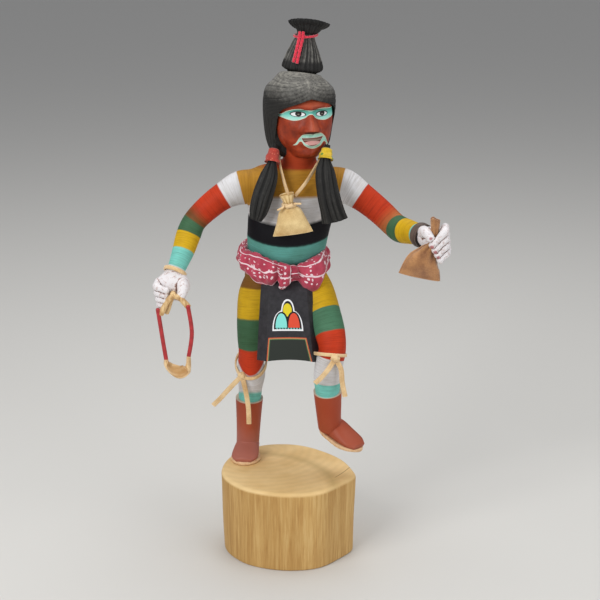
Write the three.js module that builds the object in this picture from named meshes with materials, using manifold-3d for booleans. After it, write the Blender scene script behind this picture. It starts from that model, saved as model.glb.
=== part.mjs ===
// A carved and painted wooden dancer on a slice of root wood: one carved figure, with the leather, cloth, yarn
// and wooden things that are tied to it or held in its hands. Millimetres, +Z up, origin under the base.
import * as THREE from "three";
import { mergeVertices } from "three/addons/utils/BufferGeometryUtils.js";
import Module from "manifold-3d";

// Driving dimensions
const baseHeight = 57;
const baseWidth = 92;
const baseDepth = 89;
const baseTopRound = 3;
const baseFootRound = 1.2;
const figureHeight = 272; // from the top of the base to the crown of the hair
const clearance = 0.3; // between two pieces that touch
const laceWidth = 2.6;
const laceThickness = 1.3;
const yarnThickness = 2.2;
const rubberThickness = 2.8;
const stickThickness = 4.6;
const apronThickness = 1.8;
const soleThickness = 2.4;
const finest = 0.08; // detail smaller than this is smoothed out where pieces were joined or cut

const share = figureHeight / 100; // the figure is laid out in hundredths of its height
const standHeight = baseHeight + clearance;

const wasm = await Module();
wasm.setup();

// A three.js geometry as a solid that can be joined and cut
function solid(geometry) {
  const bare = geometry.clone();
  bare.deleteAttribute("normal");
  bare.deleteAttribute("uv");
  const closed = mergeVertices(bare, 1e-4);
  const vertProperties = new Float32Array(closed.attributes.position.array);
  const triVerts = new Uint32Array(closed.index.array);
  return new wasm.Manifold(new wasm.Mesh({ numProp: 3, vertProperties, triVerts }));
}

function joined(...pieces) {
  return pieces.reduce((whole, piece) => whole.add(piece));
}

// What is left of a piece after a cut, without the slivers and the very short edges that the cut leaves
function mainBody(cut) {
  return cut.decompose().reduce((a, b) => (a.volume() > b.volume() ? a : b)).simplify(finest);
}

function geometryOf(piece) {
  const { numProp, vertProperties, triVerts } = piece.getMesh();
  const made = new THREE.BufferGeometry();
  made.setAttribute("position", new THREE.BufferAttribute(new Float32Array(vertProperties), numProp));
  made.setIndex([...triVerts]);
  made.computeVertexNormals();
  return made;
}

function place(x, y, z) {
  return new THREE.Vector3(x * share, y * share, standHeight + z * share);
}

// Angle and reach of point k in a section: four points make a flat strip, more make a rounded form
function sectionPoint(k, around) {
  const flat = around === 4;
  return [(2 * Math.PI * k) / around + (flat ? Math.PI / 4 : 0), flat ? Math.SQRT2 : 1];
}

// Faces between rings of equal count: around is the number of points in a ring
function walls(rings, around) {
  const faces = [];
  for (let i = 0; i < rings - 1; i++) {
    for (let k = 0; k < around; k++) {
      const next = (k + 1) % around;
      const [a, b] = [i * around + k, i * around + next];
      faces.push(a, b, b + around, a, b + around, a + around);
    }
  }
  return faces;
}

// Rings joined into one closed surface, each end closed by a fan round its pole
function skin(points, rings, around, poles) {
  const faces = walls(rings, around);
  const last = (rings - 1) * around;
  const [start, end] = [points.length, points.length + 1];
  for (let k = 0; k < around; k++) {
    const next = (k + 1) % around;
    faces.push(start, next, k, end, last + k, last + next);
  }
  const geometry = new THREE.BufferGeometry().setFromPoints([...points, ...poles]);
  geometry.setIndex(faces);
  return geometry;
}

// A form carried through stations [x, y, z, half width, half depth], in shares of the figure's height.
// across is the direction of the half width, grow thickens it in millimetres, carve(angle, along) scales it.
function loft(stations, { around = 10, steps = 7, across = [1, 0, 0], grow = 0, carve, dome = 0.4 } = {}) {
  const path = new THREE.CatmullRomCurve3(stations.map(([x, y, z]) => place(x, y, z)));
  const girth = new THREE.SplineCurve(
    stations.map(([, , , a, b]) => new THREE.Vector2(a * share, b * share)),
  );
  const wide = new THREE.Vector3(...across).normalize();
  const points = [];
  for (let i = 0; i <= steps; i++) {
    const t = i / steps;
    const centre = path.getPoint(t);
    const along = path.getTangent(t);
    const side = wide.clone().addScaledVector(along, -along.dot(wide)).normalize();
    const front = new THREE.Vector3().crossVectors(along, side);
    const { x: a, y: b } = girth.getPoint(t);
    for (let k = 0; k < around; k++) {
      const [angle, reach] = sectionPoint(k, around);
      const scale = reach * (carve ? carve(angle, t) : 1);
      const point = centre.clone();
      point.addScaledVector(side, (a * scale + grow) * Math.cos(angle));
      point.addScaledVector(front, (b * scale + grow) * Math.sin(angle));
      points.push(point);
    }
  }
  const poles = [0, 1].map((t) => {
    const { x: a, y: b } = girth.getPoint(t);
    const out = (t ? 1 : -1) * (dome * Math.min(a, b) + grow);
    return path.getPoint(t).addScaledVector(path.getTangent(t), out);
  });
  return solid(skin(points, steps + 1, around, poles));
}

// A strap or tube of one section, in millimetres, through points given in shares
function strap(points, width, thickness, options = {}) {
  const rows = points.map(([x, y, z]) => [x, y, z, width / 2 / share, thickness / 2 / share]);
  return loft(rows, { around: 4, steps: 2 * (points.length - 1), dome: 0.2, ...options });
}

// A closed ring round a limb that runs along axis: centre in shares, radii of its run and its lift in millimetres
function loop(centre, radii, width, thickness, options = {}) {
  const { axis = [0, 0, 1], lift = [0, 0], turns = 14, around = 4, fold } = options;
  const points = [];
  const middle = place(...centre);
  const up = new THREE.Vector3(...axis).normalize();
  const right = new THREE.Vector3(1, 0, 0).addScaledVector(up, -up.x).normalize();
  const back = new THREE.Vector3().crossVectors(up, right);
  for (let i = 0; i < turns; i++) {
    const turn = (2 * Math.PI * i) / turns;
    const [c, s] = [Math.cos(turn), Math.sin(turn)];
    const out = right.clone().multiplyScalar(c).addScaledVector(back, s);
    const run = right.clone().multiplyScalar(radii[0] * c).addScaledVector(back, radii[1] * s);
    run.addScaledVector(up, lift[0] * c + lift[1] * s);
    for (let k = 0; k < around; k++) {
      const [angle, reach] = sectionPoint(k, around);
      const scale = reach * (fold ? fold(turn, angle) : 1);
      const point = middle.clone().add(run);
      point.addScaledVector(out, (scale * thickness * Math.cos(angle)) / 2);
      point.addScaledVector(up, (scale * width * Math.sin(angle)) / 2);
      points.push(point);
    }
  }
  const faces = [];
  for (let i = 0; i < turns; i++) {
    for (let k = 0; k < around; k++) {
      const [row, nextRow] = [i * around, ((i + 1) % turns) * around];
      const next = (k + 1) % around;
      faces.push(row + k, nextRow + k, nextRow + next, row + k, nextRow + next, row + next);
    }
  }
  const geometry = new THREE.BufferGeometry().setFromPoints(points);
  geometry.setIndex(faces);
  return solid(geometry);
}

// A stiff panel: face(u, v) gives its front in shares, u from -1 to 1 across and v from 0 to 1 down.
// Its top and bottom edges are strips between the front and the back, so that they follow the bent outline.
function panel(face, thickness, columns = 8, rows = 4) {
  const points = [];
  for (let j = 0; j <= rows; j++) {
    const ring = [];
    for (let i = 0; i <= columns; i++) ring.push(place(...face((2 * i) / columns - 1, j / rows)));
    const back = ring.map((p) => p.clone().add(new THREE.Vector3(0, thickness, 0))).reverse();
    points.push(...ring, ...back);
  }
  const around = 2 * (columns + 1);
  const faces = walls(rows + 1, around);
  const bottom = rows * around;
  for (let i = 0; i < columns; i++) {
    const [a, b, c, d] = [i, i + 1, around - 2 - i, around - 1 - i];
    faces.push(a, c, b, a, d, c, bottom + a, bottom + b, bottom + c, bottom + a, bottom + c, bottom + d);
  }
  const geometry = new THREE.BufferGeometry().setFromPoints(points);
  geometry.setIndex(faces);
  const made = solid(geometry);
  return made.volume() > 0 ? made : solid(flipped(geometry));
}

function flipped(geometry) {
  const turned = geometry.clone();
  const index = [...geometry.index.array];
  for (let i = 0; i < index.length; i += 3) [index[i + 1], index[i + 2]] = [index[i + 2], index[i + 1]];
  turned.setIndex(index);
  return turned;
}

// Base: a slice of root, nearly round, with one flat side that meets the front in a corner
function base() {
  const outline = new THREE.CatmullRomCurve3(
    [
      [-0.5, 0.05], [-0.475, -0.17], [-0.35, -0.36], [-0.2, -0.455], [-0.03, -0.5], [0.14, -0.49], [0.27, -0.43],
      [0.39, -0.3], [0.495, -0.15], [0.485, -0.02], [0.41, 0.18], [0.27, 0.35], [0.1, 0.47], [-0.08, 0.5],
      [-0.25, 0.45], [-0.43, 0.28],
    ].map(([x, y]) => new THREE.Vector3(x * baseWidth, y * baseDepth, 0)),
    true,
  );
  const taper = 0.965;
  const levels = [
    [0, taper - baseFootRound / baseWidth],
    [baseFootRound, taper],
    [baseHeight / 2, (1 + taper) / 2],
    [baseHeight - baseTopRound, 1],
    [baseHeight - 0.35 * baseTopRound, 1 - (0.45 * baseTopRound) / baseWidth],
    [baseHeight, 1 - (2 * baseTopRound) / baseWidth],
  ];
  const around = 36;
  const points = levels.flatMap(([z, scale]) =>
    Array.from({ length: around }, (_, k) => {
      const point = outline.getPointAt(k / around).multiplyScalar(scale);
      return point.setZ(z);
    }),
  );
  const poles = [new THREE.Vector3(0, 0, 0), new THREE.Vector3(0, 0, baseHeight)];
  return solid(skin(points, levels.length, around, poles));
}

// Torso: crotch, hips, waist, the belly that hangs over the sash, chest, shoulders and neck
function torso(grow) {
  return loft(
    [
      [-1.0, 7.8, 42.6, 4.6, 4.4], [-0.9, 7.8, 46.5, 9.4, 6.8], [-0.8, 7.6, 50.5, 9.8, 7.0],
      [-0.6, 7.6, 53.8, 9.0, 6.2], [-0.4, 6.6, 57.0, 9.7, 7.6], [0.0, 6.5, 60.5, 10.0, 7.8],
      [0.6, 7.1, 64.5, 10.5, 7.3], [1.4, 7.5, 68.5, 11.9, 7.3], [2.0, 7.5, 72.3, 12.2, 6.6],
      [2.5, 7.2, 75.0, 8.4, 5.2], [2.8, 6.8, 77.3, 4.5, 4.3], [2.9, 6.2, 80.5, 3.9, 4.1], [2.9, 6.0, 84.0, 3.6, 3.9],
    ],
    { around: 14, steps: 12, grow },
  );
}

// Arms: shoulder, upper arm, elbow, forearm and wrist
function rightArm(grow) {
  return loft(
    [
      [-6.0, 7.2, 71.2, 4.4, 4.4], [-11.3, 6.8, 71.0, 4.3, 4.2], [-15.6, 6.4, 69.1, 3.6, 3.4],
      [-19.6, 5.6, 66.2, 3.2, 3.1], [-22.8, 5.0, 63.0, 3.0, 2.9], [-24.3, 3.9, 59.9, 3.1, 3.0],
      [-25.5, 1.4, 56.4, 2.8, 2.7], [-27.0, -0.9, 52.8, 2.2, 2.2], [-28.2, -1.9, 50.2, 2.0, 2.2],
    ],
    { around: 8, steps: 10, across: [0, 1, 0], grow },
  );
}

function leftArm(grow) {
  return loft(
    [
      [8.0, 7.4, 71.6, 4.4, 4.4], [13.4, 7.0, 71.4, 4.3, 4.2], [17.8, 6.1, 69.0, 3.5, 3.3],
      [22.2, 5.0, 65.7, 3.2, 3.1], [25.6, 3.2, 62.8, 3.1, 3.0], [27.2, 0.6, 62.1, 3.2, 3.1],
      [29.2, -3.2, 62.4, 2.9, 2.8], [31.6, -7.6, 62.8, 2.3, 2.2], [32.9, -9.6, 62.8, 2.1, 2.0],
    ],
    { around: 8, steps: 10, across: [0, 0, 1], grow },
  );
}

// A closed hand: its back, four fingers side by side that wrap round what it holds, and a thumb over them.
// first gives the knuckle, bend and tip of the forefinger, step the way from each finger to the next.
function fist(grow, { back, across, first, step, thumb }) {
  const fingers = [0, 1, 2, 3].map((n) => {
    const radii = [0.95, 0.95, 0.75];
    const stations = first.map((joint, i) => [...joint.map((v, k) => v + n * step[i][k]), radii[i], radii[i]]);
    return loft(stations, { around: 5, steps: 2, grow, dome: 0.6 });
  });
  const hand = loft(back, { around: 8, steps: 2, across, grow, dome: 0.5 });
  const thumbLoft = loft(thumb, { around: 6, steps: 3, grow, dome: 0.6 });
  return joined(hand, ...fingers, thumbLoft);
}

function rightFist(grow) {
  return fist(grow, {
    back: [[-27.7, -1.5, 51.6, 2.5, 2.1], [-28.4, -2.3, 49.2, 3.8, 2.4], [-28.7, -2.7, 46.4, 3.1, 2.0]],
    across: [1, 0, 0],
    first: [[-31.3, -2.6, 49.8], [-31.5, -5.2, 49.3], [-29.0, -6.5, 48.6]],
    step: [[0.15, 0, -1.55], [0.25, 0, -1.5], [-0.2, 0.1, -1.25]],
    thumb: [[-25.4, -3.0, 51.0, 1.5, 1.5], [-25.2, -5.4, 48.8, 1.3, 1.2], [-26.3, -6.6, 46.9, 1.0, 1.0]],
  });
}

function leftFist(grow) {
  return fist(grow, {
    back: [[32.6, -9.2, 62.8, 2.4, 2.3], [34.0, -11.4, 62.8, 3.0, 2.3], [35.8, -12.4, 63.0, 2.9, 1.9]],
    across: [0, 0, 1],
    first: [[36.7, -12.9, 66.0], [36.3, -15.7, 65.5], [33.3, -16.7, 62.4]],
    step: [[0.2, 0.1, -1.75], [0.2, 0.2, -1.7], [0.66, 0.1, -1.2]],
    thumb: [[31.9, -11.8, 64.6, 1.5, 1.5], [32.2, -14.6, 65.2, 1.2, 1.2], [33.2, -16.5, 64.1, 0.95, 0.95]],
  });
}

// Head turned to the figure's left: face and skull, nose, brow, lips, and the hair that frames the face
const faceTurn = THREE.MathUtils.degToRad(16);
const faceAcross = [Math.cos(faceTurn), Math.sin(faceTurn), 0];
const faceFront = [Math.sin(faceTurn), -Math.cos(faceTurn), 0];

function onFace(side, forward, z) {
  const [x, y] = [0, 1].map((i) => side * faceAcross[i] + forward * faceFront[i]);
  return [3.1 + x, 6.3 + y, z];
}

function face(grow) {
  const head = [
    [...onFace(0, 3.4, 79.9), 2.8, 3.9], [...onFace(0, 2.6, 82.6), 5.0, 5.6], [...onFace(0, 1.4, 86.2), 6.4, 7.0],
    [...onFace(0, 0.6, 90.2), 6.9, 7.5], [...onFace(0, 0.4, 94.2), 6.7, 7.5], [...onFace(0, 0, 97.4), 5.0, 6.0],
  ];
  const nose = [
    [...onFace(0, 7.3, 91.2), 0.8, 0.9], [...onFace(0, 8.2, 88.8), 0.9, 1.2], [...onFace(0, 8.9, 87.0), 1.7, 1.2],
    [...onFace(0, 8.2, 86.0), 1.5, 0.9],
  ];
  const brow = [
    [...onFace(-4.4, 6.4, 91.8), 0.9, 0.7], [...onFace(0, 7.7, 92.4), 0.9, 0.8], [...onFace(4.4, 6.4, 91.8), 0.9, 0.7],
  ];
  const lips = [
    [...onFace(-2.3, 7.2, 83.6), 0.7, 0.7], [...onFace(0, 8.1, 83.7), 1.0, 1.0], [...onFace(2.3, 7.2, 83.6), 0.7, 0.7],
  ];
  return joined(
    loft(head, { around: 14, steps: 8, across: faceAcross, grow, dome: 0.3 }),
    loft(nose, { around: 6, steps: 4, across: faceAcross, grow }),
    loft(brow, { around: 6, steps: 4, across: [0, 0, 1], grow }),
    loft(lips, { around: 6, steps: 4, across: [0, 0, 1], grow }),
  );
}

const hairStrands = 14;

function hair(grow) {
  const strands = (angle, along) => 1 - 0.035 * Math.abs(Math.sin((hairStrands / 2) * angle + 2.2 * along));
  const cap = loft(
    [
      [2.6, 8.6, 79.6, 6.4, 4.4], [2.5, 8.2, 82.5, 7.7, 6.4], [2.5, 7.8, 87.0, 8.4, 7.8], [2.6, 7.4, 91.5, 8.7, 8.8],
      [2.8, 7.0, 95.2, 8.2, 9.2], [3.0, 7.0, 97.6, 6.2, 7.2], [3.1, 7.2, 98.7, 4.9, 5.6],
    ],
    { around: 2 * hairStrands, steps: 6, grow, carve: strands, dome: 0.06 },
  );
  const window = loft(
    [[...onFace(0.2, 1.6, 85.6), 6.3, 8.6], [...onFace(0.2, 6, 85.8), 6.5, 8.8], [...onFace(0.2, 14, 86), 6.9, 9.2]],
    { around: 14, steps: 2, across: faceAcross, grow: -grow },
  );
  return cap.subtract(window);
}

// Legs: the right leg stands, the left is lifted forward with its knee bent
function rightLeg(grow) {
  return loft(
    [
      [-5.6, 7.8, 47.5, 5.0, 6.0], [-7.3, 7.6, 43.0, 5.2, 5.6], [-8.4, 6.9, 37.5, 4.5, 4.9], [-9.0, 6.0, 32.5, 3.8, 4.1],
      [-9.3, 5.4, 29.0, 3.2, 3.6], [-9.4, 5.8, 25.5, 3.4, 3.7], [-9.5, 6.9, 22.5, 3.6, 3.9],
      [-9.7, 7.6, 18.6, 3.0, 3.2], [-10.0, 7.8, 14.0, 2.8, 2.9],
    ],
    { around: 9, steps: 10, grow },
  );
}

function leftLeg(grow) {
  return loft(
    [
      [4.2, 7.4, 48.5, 4.8, 6.0], [6.6, 4.2, 45.0, 4.8, 5.6], [8.8, -0.6, 40.8, 4.2, 4.8], [10.3, -4.6, 37.2, 3.7, 4.1],
      [10.8, -6.6, 33.9, 3.3, 3.7], [10.1, -6.2, 30.2, 3.4, 3.7], [9.7, -5.2, 26.4, 3.4, 3.7], [9.7, -4.2, 22.4, 3.0, 3.1],
      [9.9, -3.4, 18.5, 2.8, 2.9],
    ],
    { around: 9, steps: 10, grow },
  );
}

// A boot with a wide top, a foot that runs from heel to toe and a flat sole under it
function boot(grow, { shaft, heel, toe, width }) {
  const [from, to] = [place(...heel), place(...toe)];
  const forward = to.clone().sub(from);
  const length = forward.length();
  forward.normalize();
  const side = new THREE.Vector3(0, 0, 1).cross(forward).normalize();
  const up = new THREE.Vector3().crossVectors(forward, side);
  const half = (width * share) / 2;
  const outline = new THREE.Shape();
  outline.moveTo(0, 0);
  outline.bezierCurveTo(0, 0.8 * half, 0.1 * length, 0.78 * half, 0.4 * length, 0.8 * half);
  outline.bezierCurveTo(0.7 * length, 1.15 * half, length, 0.9 * half, length, 0);
  outline.bezierCurveTo(length, -0.9 * half, 0.7 * length, -1.15 * half, 0.4 * length, -0.8 * half);
  outline.bezierCurveTo(0.1 * length, -0.78 * half, 0, -0.8 * half, 0, 0);
  const flat = { depth: soleThickness, bevelEnabled: false, curveSegments: 3 };
  const soleShape = new THREE.ExtrudeGeometry(outline, flat);
  soleShape.applyMatrix4(new THREE.Matrix4().makeBasis(forward, side, up).setPosition(from));
  const onSole = (along) => from.clone().addScaledVector(forward, along * length);
  const at = (along, lift) => onSole(along).addScaledVector(up, lift * share);
  const toShare = (p) => [p.x / share, p.y / share, (p.z - standHeight) / share];
  const w = width / 2;
  const foot = [
    [...toShare(at(0.12, 2.0)), 0.68 * w, 2.0], [...toShare(at(0.34, 2.6)), 0.78 * w, 2.6],
    [...toShare(at(0.58, 2.0)), 0.88 * w, 2.0], [...toShare(at(0.8, 1.5)), 0.86 * w, 1.4],
    [...toShare(at(0.93, 1.2)), 0.6 * w, 0.9],
  ];
  const across = side.toArray();
  return joined(
    loft(shaft, { around: 10, steps: 3, grow, dome: 0.02 }),
    loft(foot, { around: 8, steps: 4, across, grow, dome: 0.5 }),
    solid(soleShape),
  );
}

function rightBoot(grow) {
  return boot(grow, {
    shaft: [
      [-10.6, 9.4, 2.4, 2.9, 3.0], [-10.4, 9.0, 6.5, 3.0, 3.3], [-10.2, 8.4, 11, 3.2, 3.3], [-10.0, 7.9, 16.3, 3.5, 3.5],
    ],
    heel: [-10.0, 12.8, 0],
    toe: [-11.6, 0.9, 0],
    width: 7.6,
  });
}

function leftBoot(grow) {
  return boot(grow, {
    shaft: [
      [10.4, -1.0, 11.6, 2.9, 3.0], [10.2, -1.8, 14, 3.0, 3.2], [10.0, -2.8, 17.5, 3.2, 3.2], [9.8, -3.7, 21.2, 3.5, 3.4],
    ],
    heel: [8.2, 2.4, 9.4],
    toe: [18.0, -6.4, 6.9],
    width: 7.4,
  });
}

function figureForms(grow) {
  return joined(
    torso(grow), rightArm(grow), leftArm(grow), rightFist(grow), leftFist(grow), face(grow), hair(grow),
    rightLeg(grow), leftLeg(grow), rightBoot(grow), leftBoot(grow),
  );
}

// Topknot: a fluted tuft of hair that narrows at its tie and flares again, leaning back a little
const topknotFlutes = 12;

function topknot(grow) {
  const flutes = (angle) => 1 - 0.07 * Math.abs(Math.sin((topknotFlutes / 2) * angle));
  return loft(
    [
      [3.4, 7.2, 99.35, 3.6, 3.6], [3.5, 7.2, 100.3, 5.0, 5.0], [3.7, 7.2, 103.2, 4.2, 4.2], [4.0, 7.2, 106.0, 3.0, 3.0],
      [4.35, 7.2, 108.1, 2.2, 2.2], [4.6, 7.3, 109.3, 3.2, 3.1], [4.75, 7.8, 110.9, 4.9, 4.6],
    ],
    { around: 2 * topknotFlutes, steps: 7, grow, carve: flutes, dome: -0.3 },
  );
}

function topknotTie() {
  const radius = 2.2 * share + clearance + yarnThickness / 2;
  const ring = loop([4.3, 7.2, 107.9], [radius, radius], yarnThickness, yarnThickness, {
    lift: [0.3, 0.4], turns: 10, around: 5,
  });
  const tails = [-0.45, 0.45].map((shift) => {
    const run = [[3.3, 4.6], [2.9, 3.7], [2.2, 2.55], [1.7, 1.9]];
    const heights = [107.9, 106.3, 103.3, 101.4];
    const points = run.map(([x, y], i) => [x + (i ? 1 : 0.5) * shift, y, heights[i]]);
    return strap(points, yarnThickness, yarnThickness, { around: 5, steps: 3 });
  });
  return joined(ring, ...tails);
}

// Two hanks of hair that fall from behind the jaw over the chest, each in its cloth wrap
function hankPiece(stations, grow, strands = 8) {
  const carve = (angle) => 1 - 0.13 * Math.abs(Math.sin((strands / 2) * angle));
  return loft(stations, { around: 2 * strands, steps: 6, grow, carve, dome: 0.2 });
}

const rightHank = [
  [-3.1, 2.6, 82.6, 0.7, 0.7], [-3.6, 0.9, 79.2, 0.9, 0.9], [-4.4, -0.9, 75.8, 2.1, 1.5], [-5.8, -1.7, 71.4, 2.5, 1.7],
  [-6.9, -2.2, 67.6, 2.3, 1.5], [-7.7, -2.3, 65.2, 1.5, 1.0],
];
const leftHank = [
  [9.5, 1.0, 82.6, 0.7, 0.7], [9.0, -0.3, 80.2, 1.0, 0.9], [8.9, -1.6, 76.8, 2.3, 1.6], [9.6, -2.3, 72.0, 2.7, 1.8],
  [10.6, -2.5, 67.8, 2.9, 1.8], [11.3, -2.4, 65.0, 3.2, 1.5],
];

function wrap(hank, thickness) {
  const sleeve = [
    [...hank[0].slice(0, 3).map((v, i) => 0.6 * v + 0.4 * hank[1][i]), 0.8, 0.8],
    [...hank[1].slice(0, 3).map((v, i) => 0.8 * v + 0.2 * hank[2][i]), 1.4, 1.3],
  ];
  return loft(sleeve, { around: 8, steps: 2, grow: thickness, dome: 0.02 });
}

// Neck lace and the leather pouch that hangs from it
function neckLace() {
  const points = [
    [0.2, -1.5, 70.9], [-0.8, -0.6, 74.0], [-1.7, 1.4, 77.2], [-2.0, 4.6, 78.9], [-1.2, 9.2, 79.2], [2.9, 11.8, 78.6],
    [7.0, 9.2, 79.2], [7.8, 4.6, 78.9], [6.6, 1.4, 77.2], [4.4, -0.6, 74.0], [1.8, -1.5, 70.9],
  ];
  return strap(points, laceWidth, laceThickness, { steps: 18, across: [0, 0, 1] });
}

function neckPouch(grow) {
  return loft(
    [
      [-0.3, -2.6, 71.6, 1.8, 1.2], [0.0, -2.5, 70.3, 1.3, 1.0], [0.3, -2.4, 68.8, 1.1, 0.9],
      [0.5, -2.5, 67.6, 2.5, 1.3], [0.9, -2.8, 64.8, 3.6, 1.7], [1.3, -2.9, 61.9, 4.7, 0.8],
    ],
    { around: 10, steps: 9, grow, dome: 0.2 },
  );
}

function pouchTie() {
  const gap = clearance + laceThickness / 2;
  const ring = loop([0.3, -2.4, 68.9], [1.2 * share + gap, share + gap], laceWidth, laceThickness, { turns: 10 });
  const ends = [[-1, -2.4, 68.0], [1, 3.2, 69.6]].map(([way, x, z]) => {
    const run = [[0.3 + 1.3 * way, -3.2, 69.0], [(0.3 + x) / 2, -4.0, (69.4 + z) / 2], [x, -4.3, z]];
    return strap(run, laceWidth / 2, laceThickness);
  });
  return joined(ring, ...ends);
}

// Sash: gathered cotton cloth round the waist, hanging deeper in front, tied in a loose knot
function sash() {
  const folds = (turn, angle) => 1 + 0.14 * Math.sin(9 * turn + 2 * angle) + 0.1 * Math.sin(17 * turn + 1);
  const cloth = loop([-1.2, 7.4, 52.7], [9.6 * share, 8.2 * share], 6.6 * share, 3.4 * share, {
    turns: 22, lift: [-1.5, 4.6], around: 6, fold: folds,
  });
  const knot = [[-2.4, -1.9, 54.0, 1.7, 1.4], [-1.6, -2.4, 51.6, 1.9, 1.5], [-2.2, -2.0, 49.4, 1.4, 1.0]];
  return joined(cloth, loft(knot, { around: 8, steps: 3 }));
}

// Breechcloth: stiff black panels that hang from under the sash, the front one swung forward
function apronFront(u, v) {
  const half = 6.4 + 1.5 * v;
  const turnedBack = Math.max(0, Math.abs(u) - 0.7) * half * 0.9;
  return [-0.1 + 0.4 * v + half * u, -1.4 - 7.2 * v + 1.6 * v * v - 0.6 + turnedBack, 49.6 - 17.6 * v];
}

function apronBack(u, v) {
  const half = 6.2 + 1.4 * v;
  const turned = Math.max(0, Math.abs(u) - 0.7) * half * 0.9;
  return [-0.9 + 0.2 * v + half * u, 15.9 + 1.4 * v - turned, 49.6 - 16.6 * v];
}

// Slingshot: a forked stick in the right hand, two rubber bands and a leather pocket
const forkTips = [[-31.1, -6.6, 42.5], [-23.9, -6.6, 44.5]];
const forkCrotch = [-27.8, -6.9, 46.9];

function slingFork(grow) {
  const handle = [[-28.0, -4.4, 50.4], [-27.9, -5.6, 48.4], forkCrotch];
  const stub = [forkCrotch, [-28.6, -5.9, 44.6], [-29.4, -5.4, 42.8]];
  const stick = (points, thickness) =>
    strap(points, thickness, thickness, { around: 6, steps: 3, across: [0, 1, 0], grow });
  const arms = forkTips.map((tip) => {
    const bend = tip.map((v, i) => 0.5 * v + 0.5 * forkCrotch[i] + (i === 2 ? 0.4 : 0));
    return stick([forkCrotch, bend, tip], 0.8 * stickThickness);
  });
  return joined(stick(handle, 0.9 * stickThickness), stick(stub, 0.6 * stickThickness), ...arms);
}

const pocketEnds = [[-29.6, -6.6, 30.7], [-24.2, -6.6, 31.5]];

function slingBand(side) {
  const [tip, end] = [forkTips[side], pocketEnds[side]];
  const bow = side ? 1.0 : -0.2;
  const start = [tip[0], tip[1], tip[2] + 0.2];
  const middle = [0.5 * (tip[0] + end[0]) + bow, tip[1], 0.5 * (tip[2] + end[2])];
  const run = [start, middle, [end[0], end[1], end[2] + 0.2]];
  return strap(run, rubberThickness, rubberThickness, { around: 6, steps: 4, across: [0, 1, 0] });
}

// The pocket is a leather dish that opens forward and up
function slingPocket(grow = 0) {
  const [a, b] = pocketEnds;
  const thick = 0.5;
  return loft(
    [
      [a[0], a[1], a[2] + 0.5, 0.8, thick], [a[0] + 0.1, a[1], a[2] - 0.7, 1.1, thick], [-28.3, -6.8, 28.7, 1.4, thick],
      [-26.3, -7.0, 27.9, 1.7, thick], [-24.5, -6.8, 28.7, 1.6, thick], [b[0] - 0.1, b[1], b[2] - 1.0, 1.1, thick],
      [b[0], b[1], b[2] + 0.5, 0.8, thick],
    ],
    { around: 6, steps: 10, across: [0, 0.75, 0.66], grow },
  );
}

// Suede bag held by its neck in the left hand
function handBag(grow) {
  return loft(
    [
      [34.5, -14.7, 68.9, 1.4, 1.1], [34.4, -14.6, 65.8, 1.1, 0.9], [34.0, -14.6, 62.6, 1.0, 0.9],
      [32.9, -14.6, 60.4, 2.3, 1.4], [31.7, -14.8, 57.8, 4.1, 1.9], [30.8, -14.9, 54.8, 5.0, 0.9],
    ],
    { around: 10, steps: 9, grow, dome: 0.15 },
  );
}

function wristLace() {
  const reach = 2.3 * share + clearance + laceThickness / 2;
  return loop([-27.4, -1.25, 52.0], [reach, reach], laceWidth, laceThickness, { axis: [1.5, 2.2, 3.6] });
}

function wristStrap() {
  const cuff = [[30.4, -5.4, 62.6, 2.7, 2.6], [31.2, -6.9, 62.8, 2.45, 2.4], [32.0, -8.3, 62.8, 2.3, 2.2]];
  return loft(cuff, { around: 10, steps: 3, across: [0, 0, 1], grow: laceThickness, dome: -0.3 });
}

// Leather ties below the knees: a loop that dips in front, its knot and two tails
function kneeTie({ centre, radii, lift, knot, tails }) {
  const reach = radii.map((r) => r * share + clearance + laceThickness / 2);
  const ring = loop(centre, reach, laceWidth, laceThickness, { lift });
  const [x, y, z] = knot;
  const turns = [[x - 0.7, y, z + 0.3, 0.7, 0.7], [x, y, z, 0.9, 0.8], [x + 0.7, y, z - 0.2, 0.7, 0.7]];
  const bow = loft(turns, { around: 6, steps: 2, across: [0, 0, 1] });
  const ends = tails.map((points) => strap([knot, ...points], laceWidth, laceThickness, { steps: 4 }));
  return joined(ring, bow, ...ends);
}

function kneeTieRight() {
  return kneeTie({
    centre: [-9.45, 6.2, 25.9], radii: [3.5, 3.9], lift: [0.4, 7.4],
    knot: [-11.6, 2.7, 23.7],
    tails: [
      [[-14.4, 2.2, 20.9], [-17.0, 2.0, 18.0], [-18.9, 2.2, 16.0]],
      [[-10.7, 2.6, 19.5], [-10.1, 2.9, 15.0], [-10.0, 3.1, 10.6]],
    ],
  });
}

function kneeTieLeft() {
  return kneeTie({
    centre: [10.2, -6.2, 31.4], radii: [3.5, 3.8], lift: [0.6, -3.4],
    knot: [11.4, -10.5, 32.6],
    tails: [
      [[9.7, -11.0, 30.2], [8.0, -10.8, 28.0], [6.6, -10.6, 26.6]],
      [[12.8, -10.6, 30.2], [13.2, -10.0, 26.4], [13.9, -9.6, 22.8]],
    ],
  });
}

const object = new THREE.Group();

function add(name, piece, color, roughness = 0.8, metalness = 0) {
  const paint = new THREE.MeshStandardMaterial({ color, roughness, metalness });
  const mesh = new THREE.Mesh(geometryOf(mainBody(piece)), paint);
  mesh.name = name;
  object.add(mesh);
}

const keepOut = figureForms(clearance);
const figure = figureForms(0).subtract(handBag(clearance)).subtract(slingFork(clearance));

add("base", base(), 0xc8a060, 0.75);
add("figure", figure, 0xb8862f, 0.7);
add("topknot", topknot(0).subtract(keepOut), 0x3a3a36, 0.8);
add("topknot_tie", topknotTie().subtract(topknot(clearance)).subtract(keepOut), 0xd81c3c, 0.9);

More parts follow.
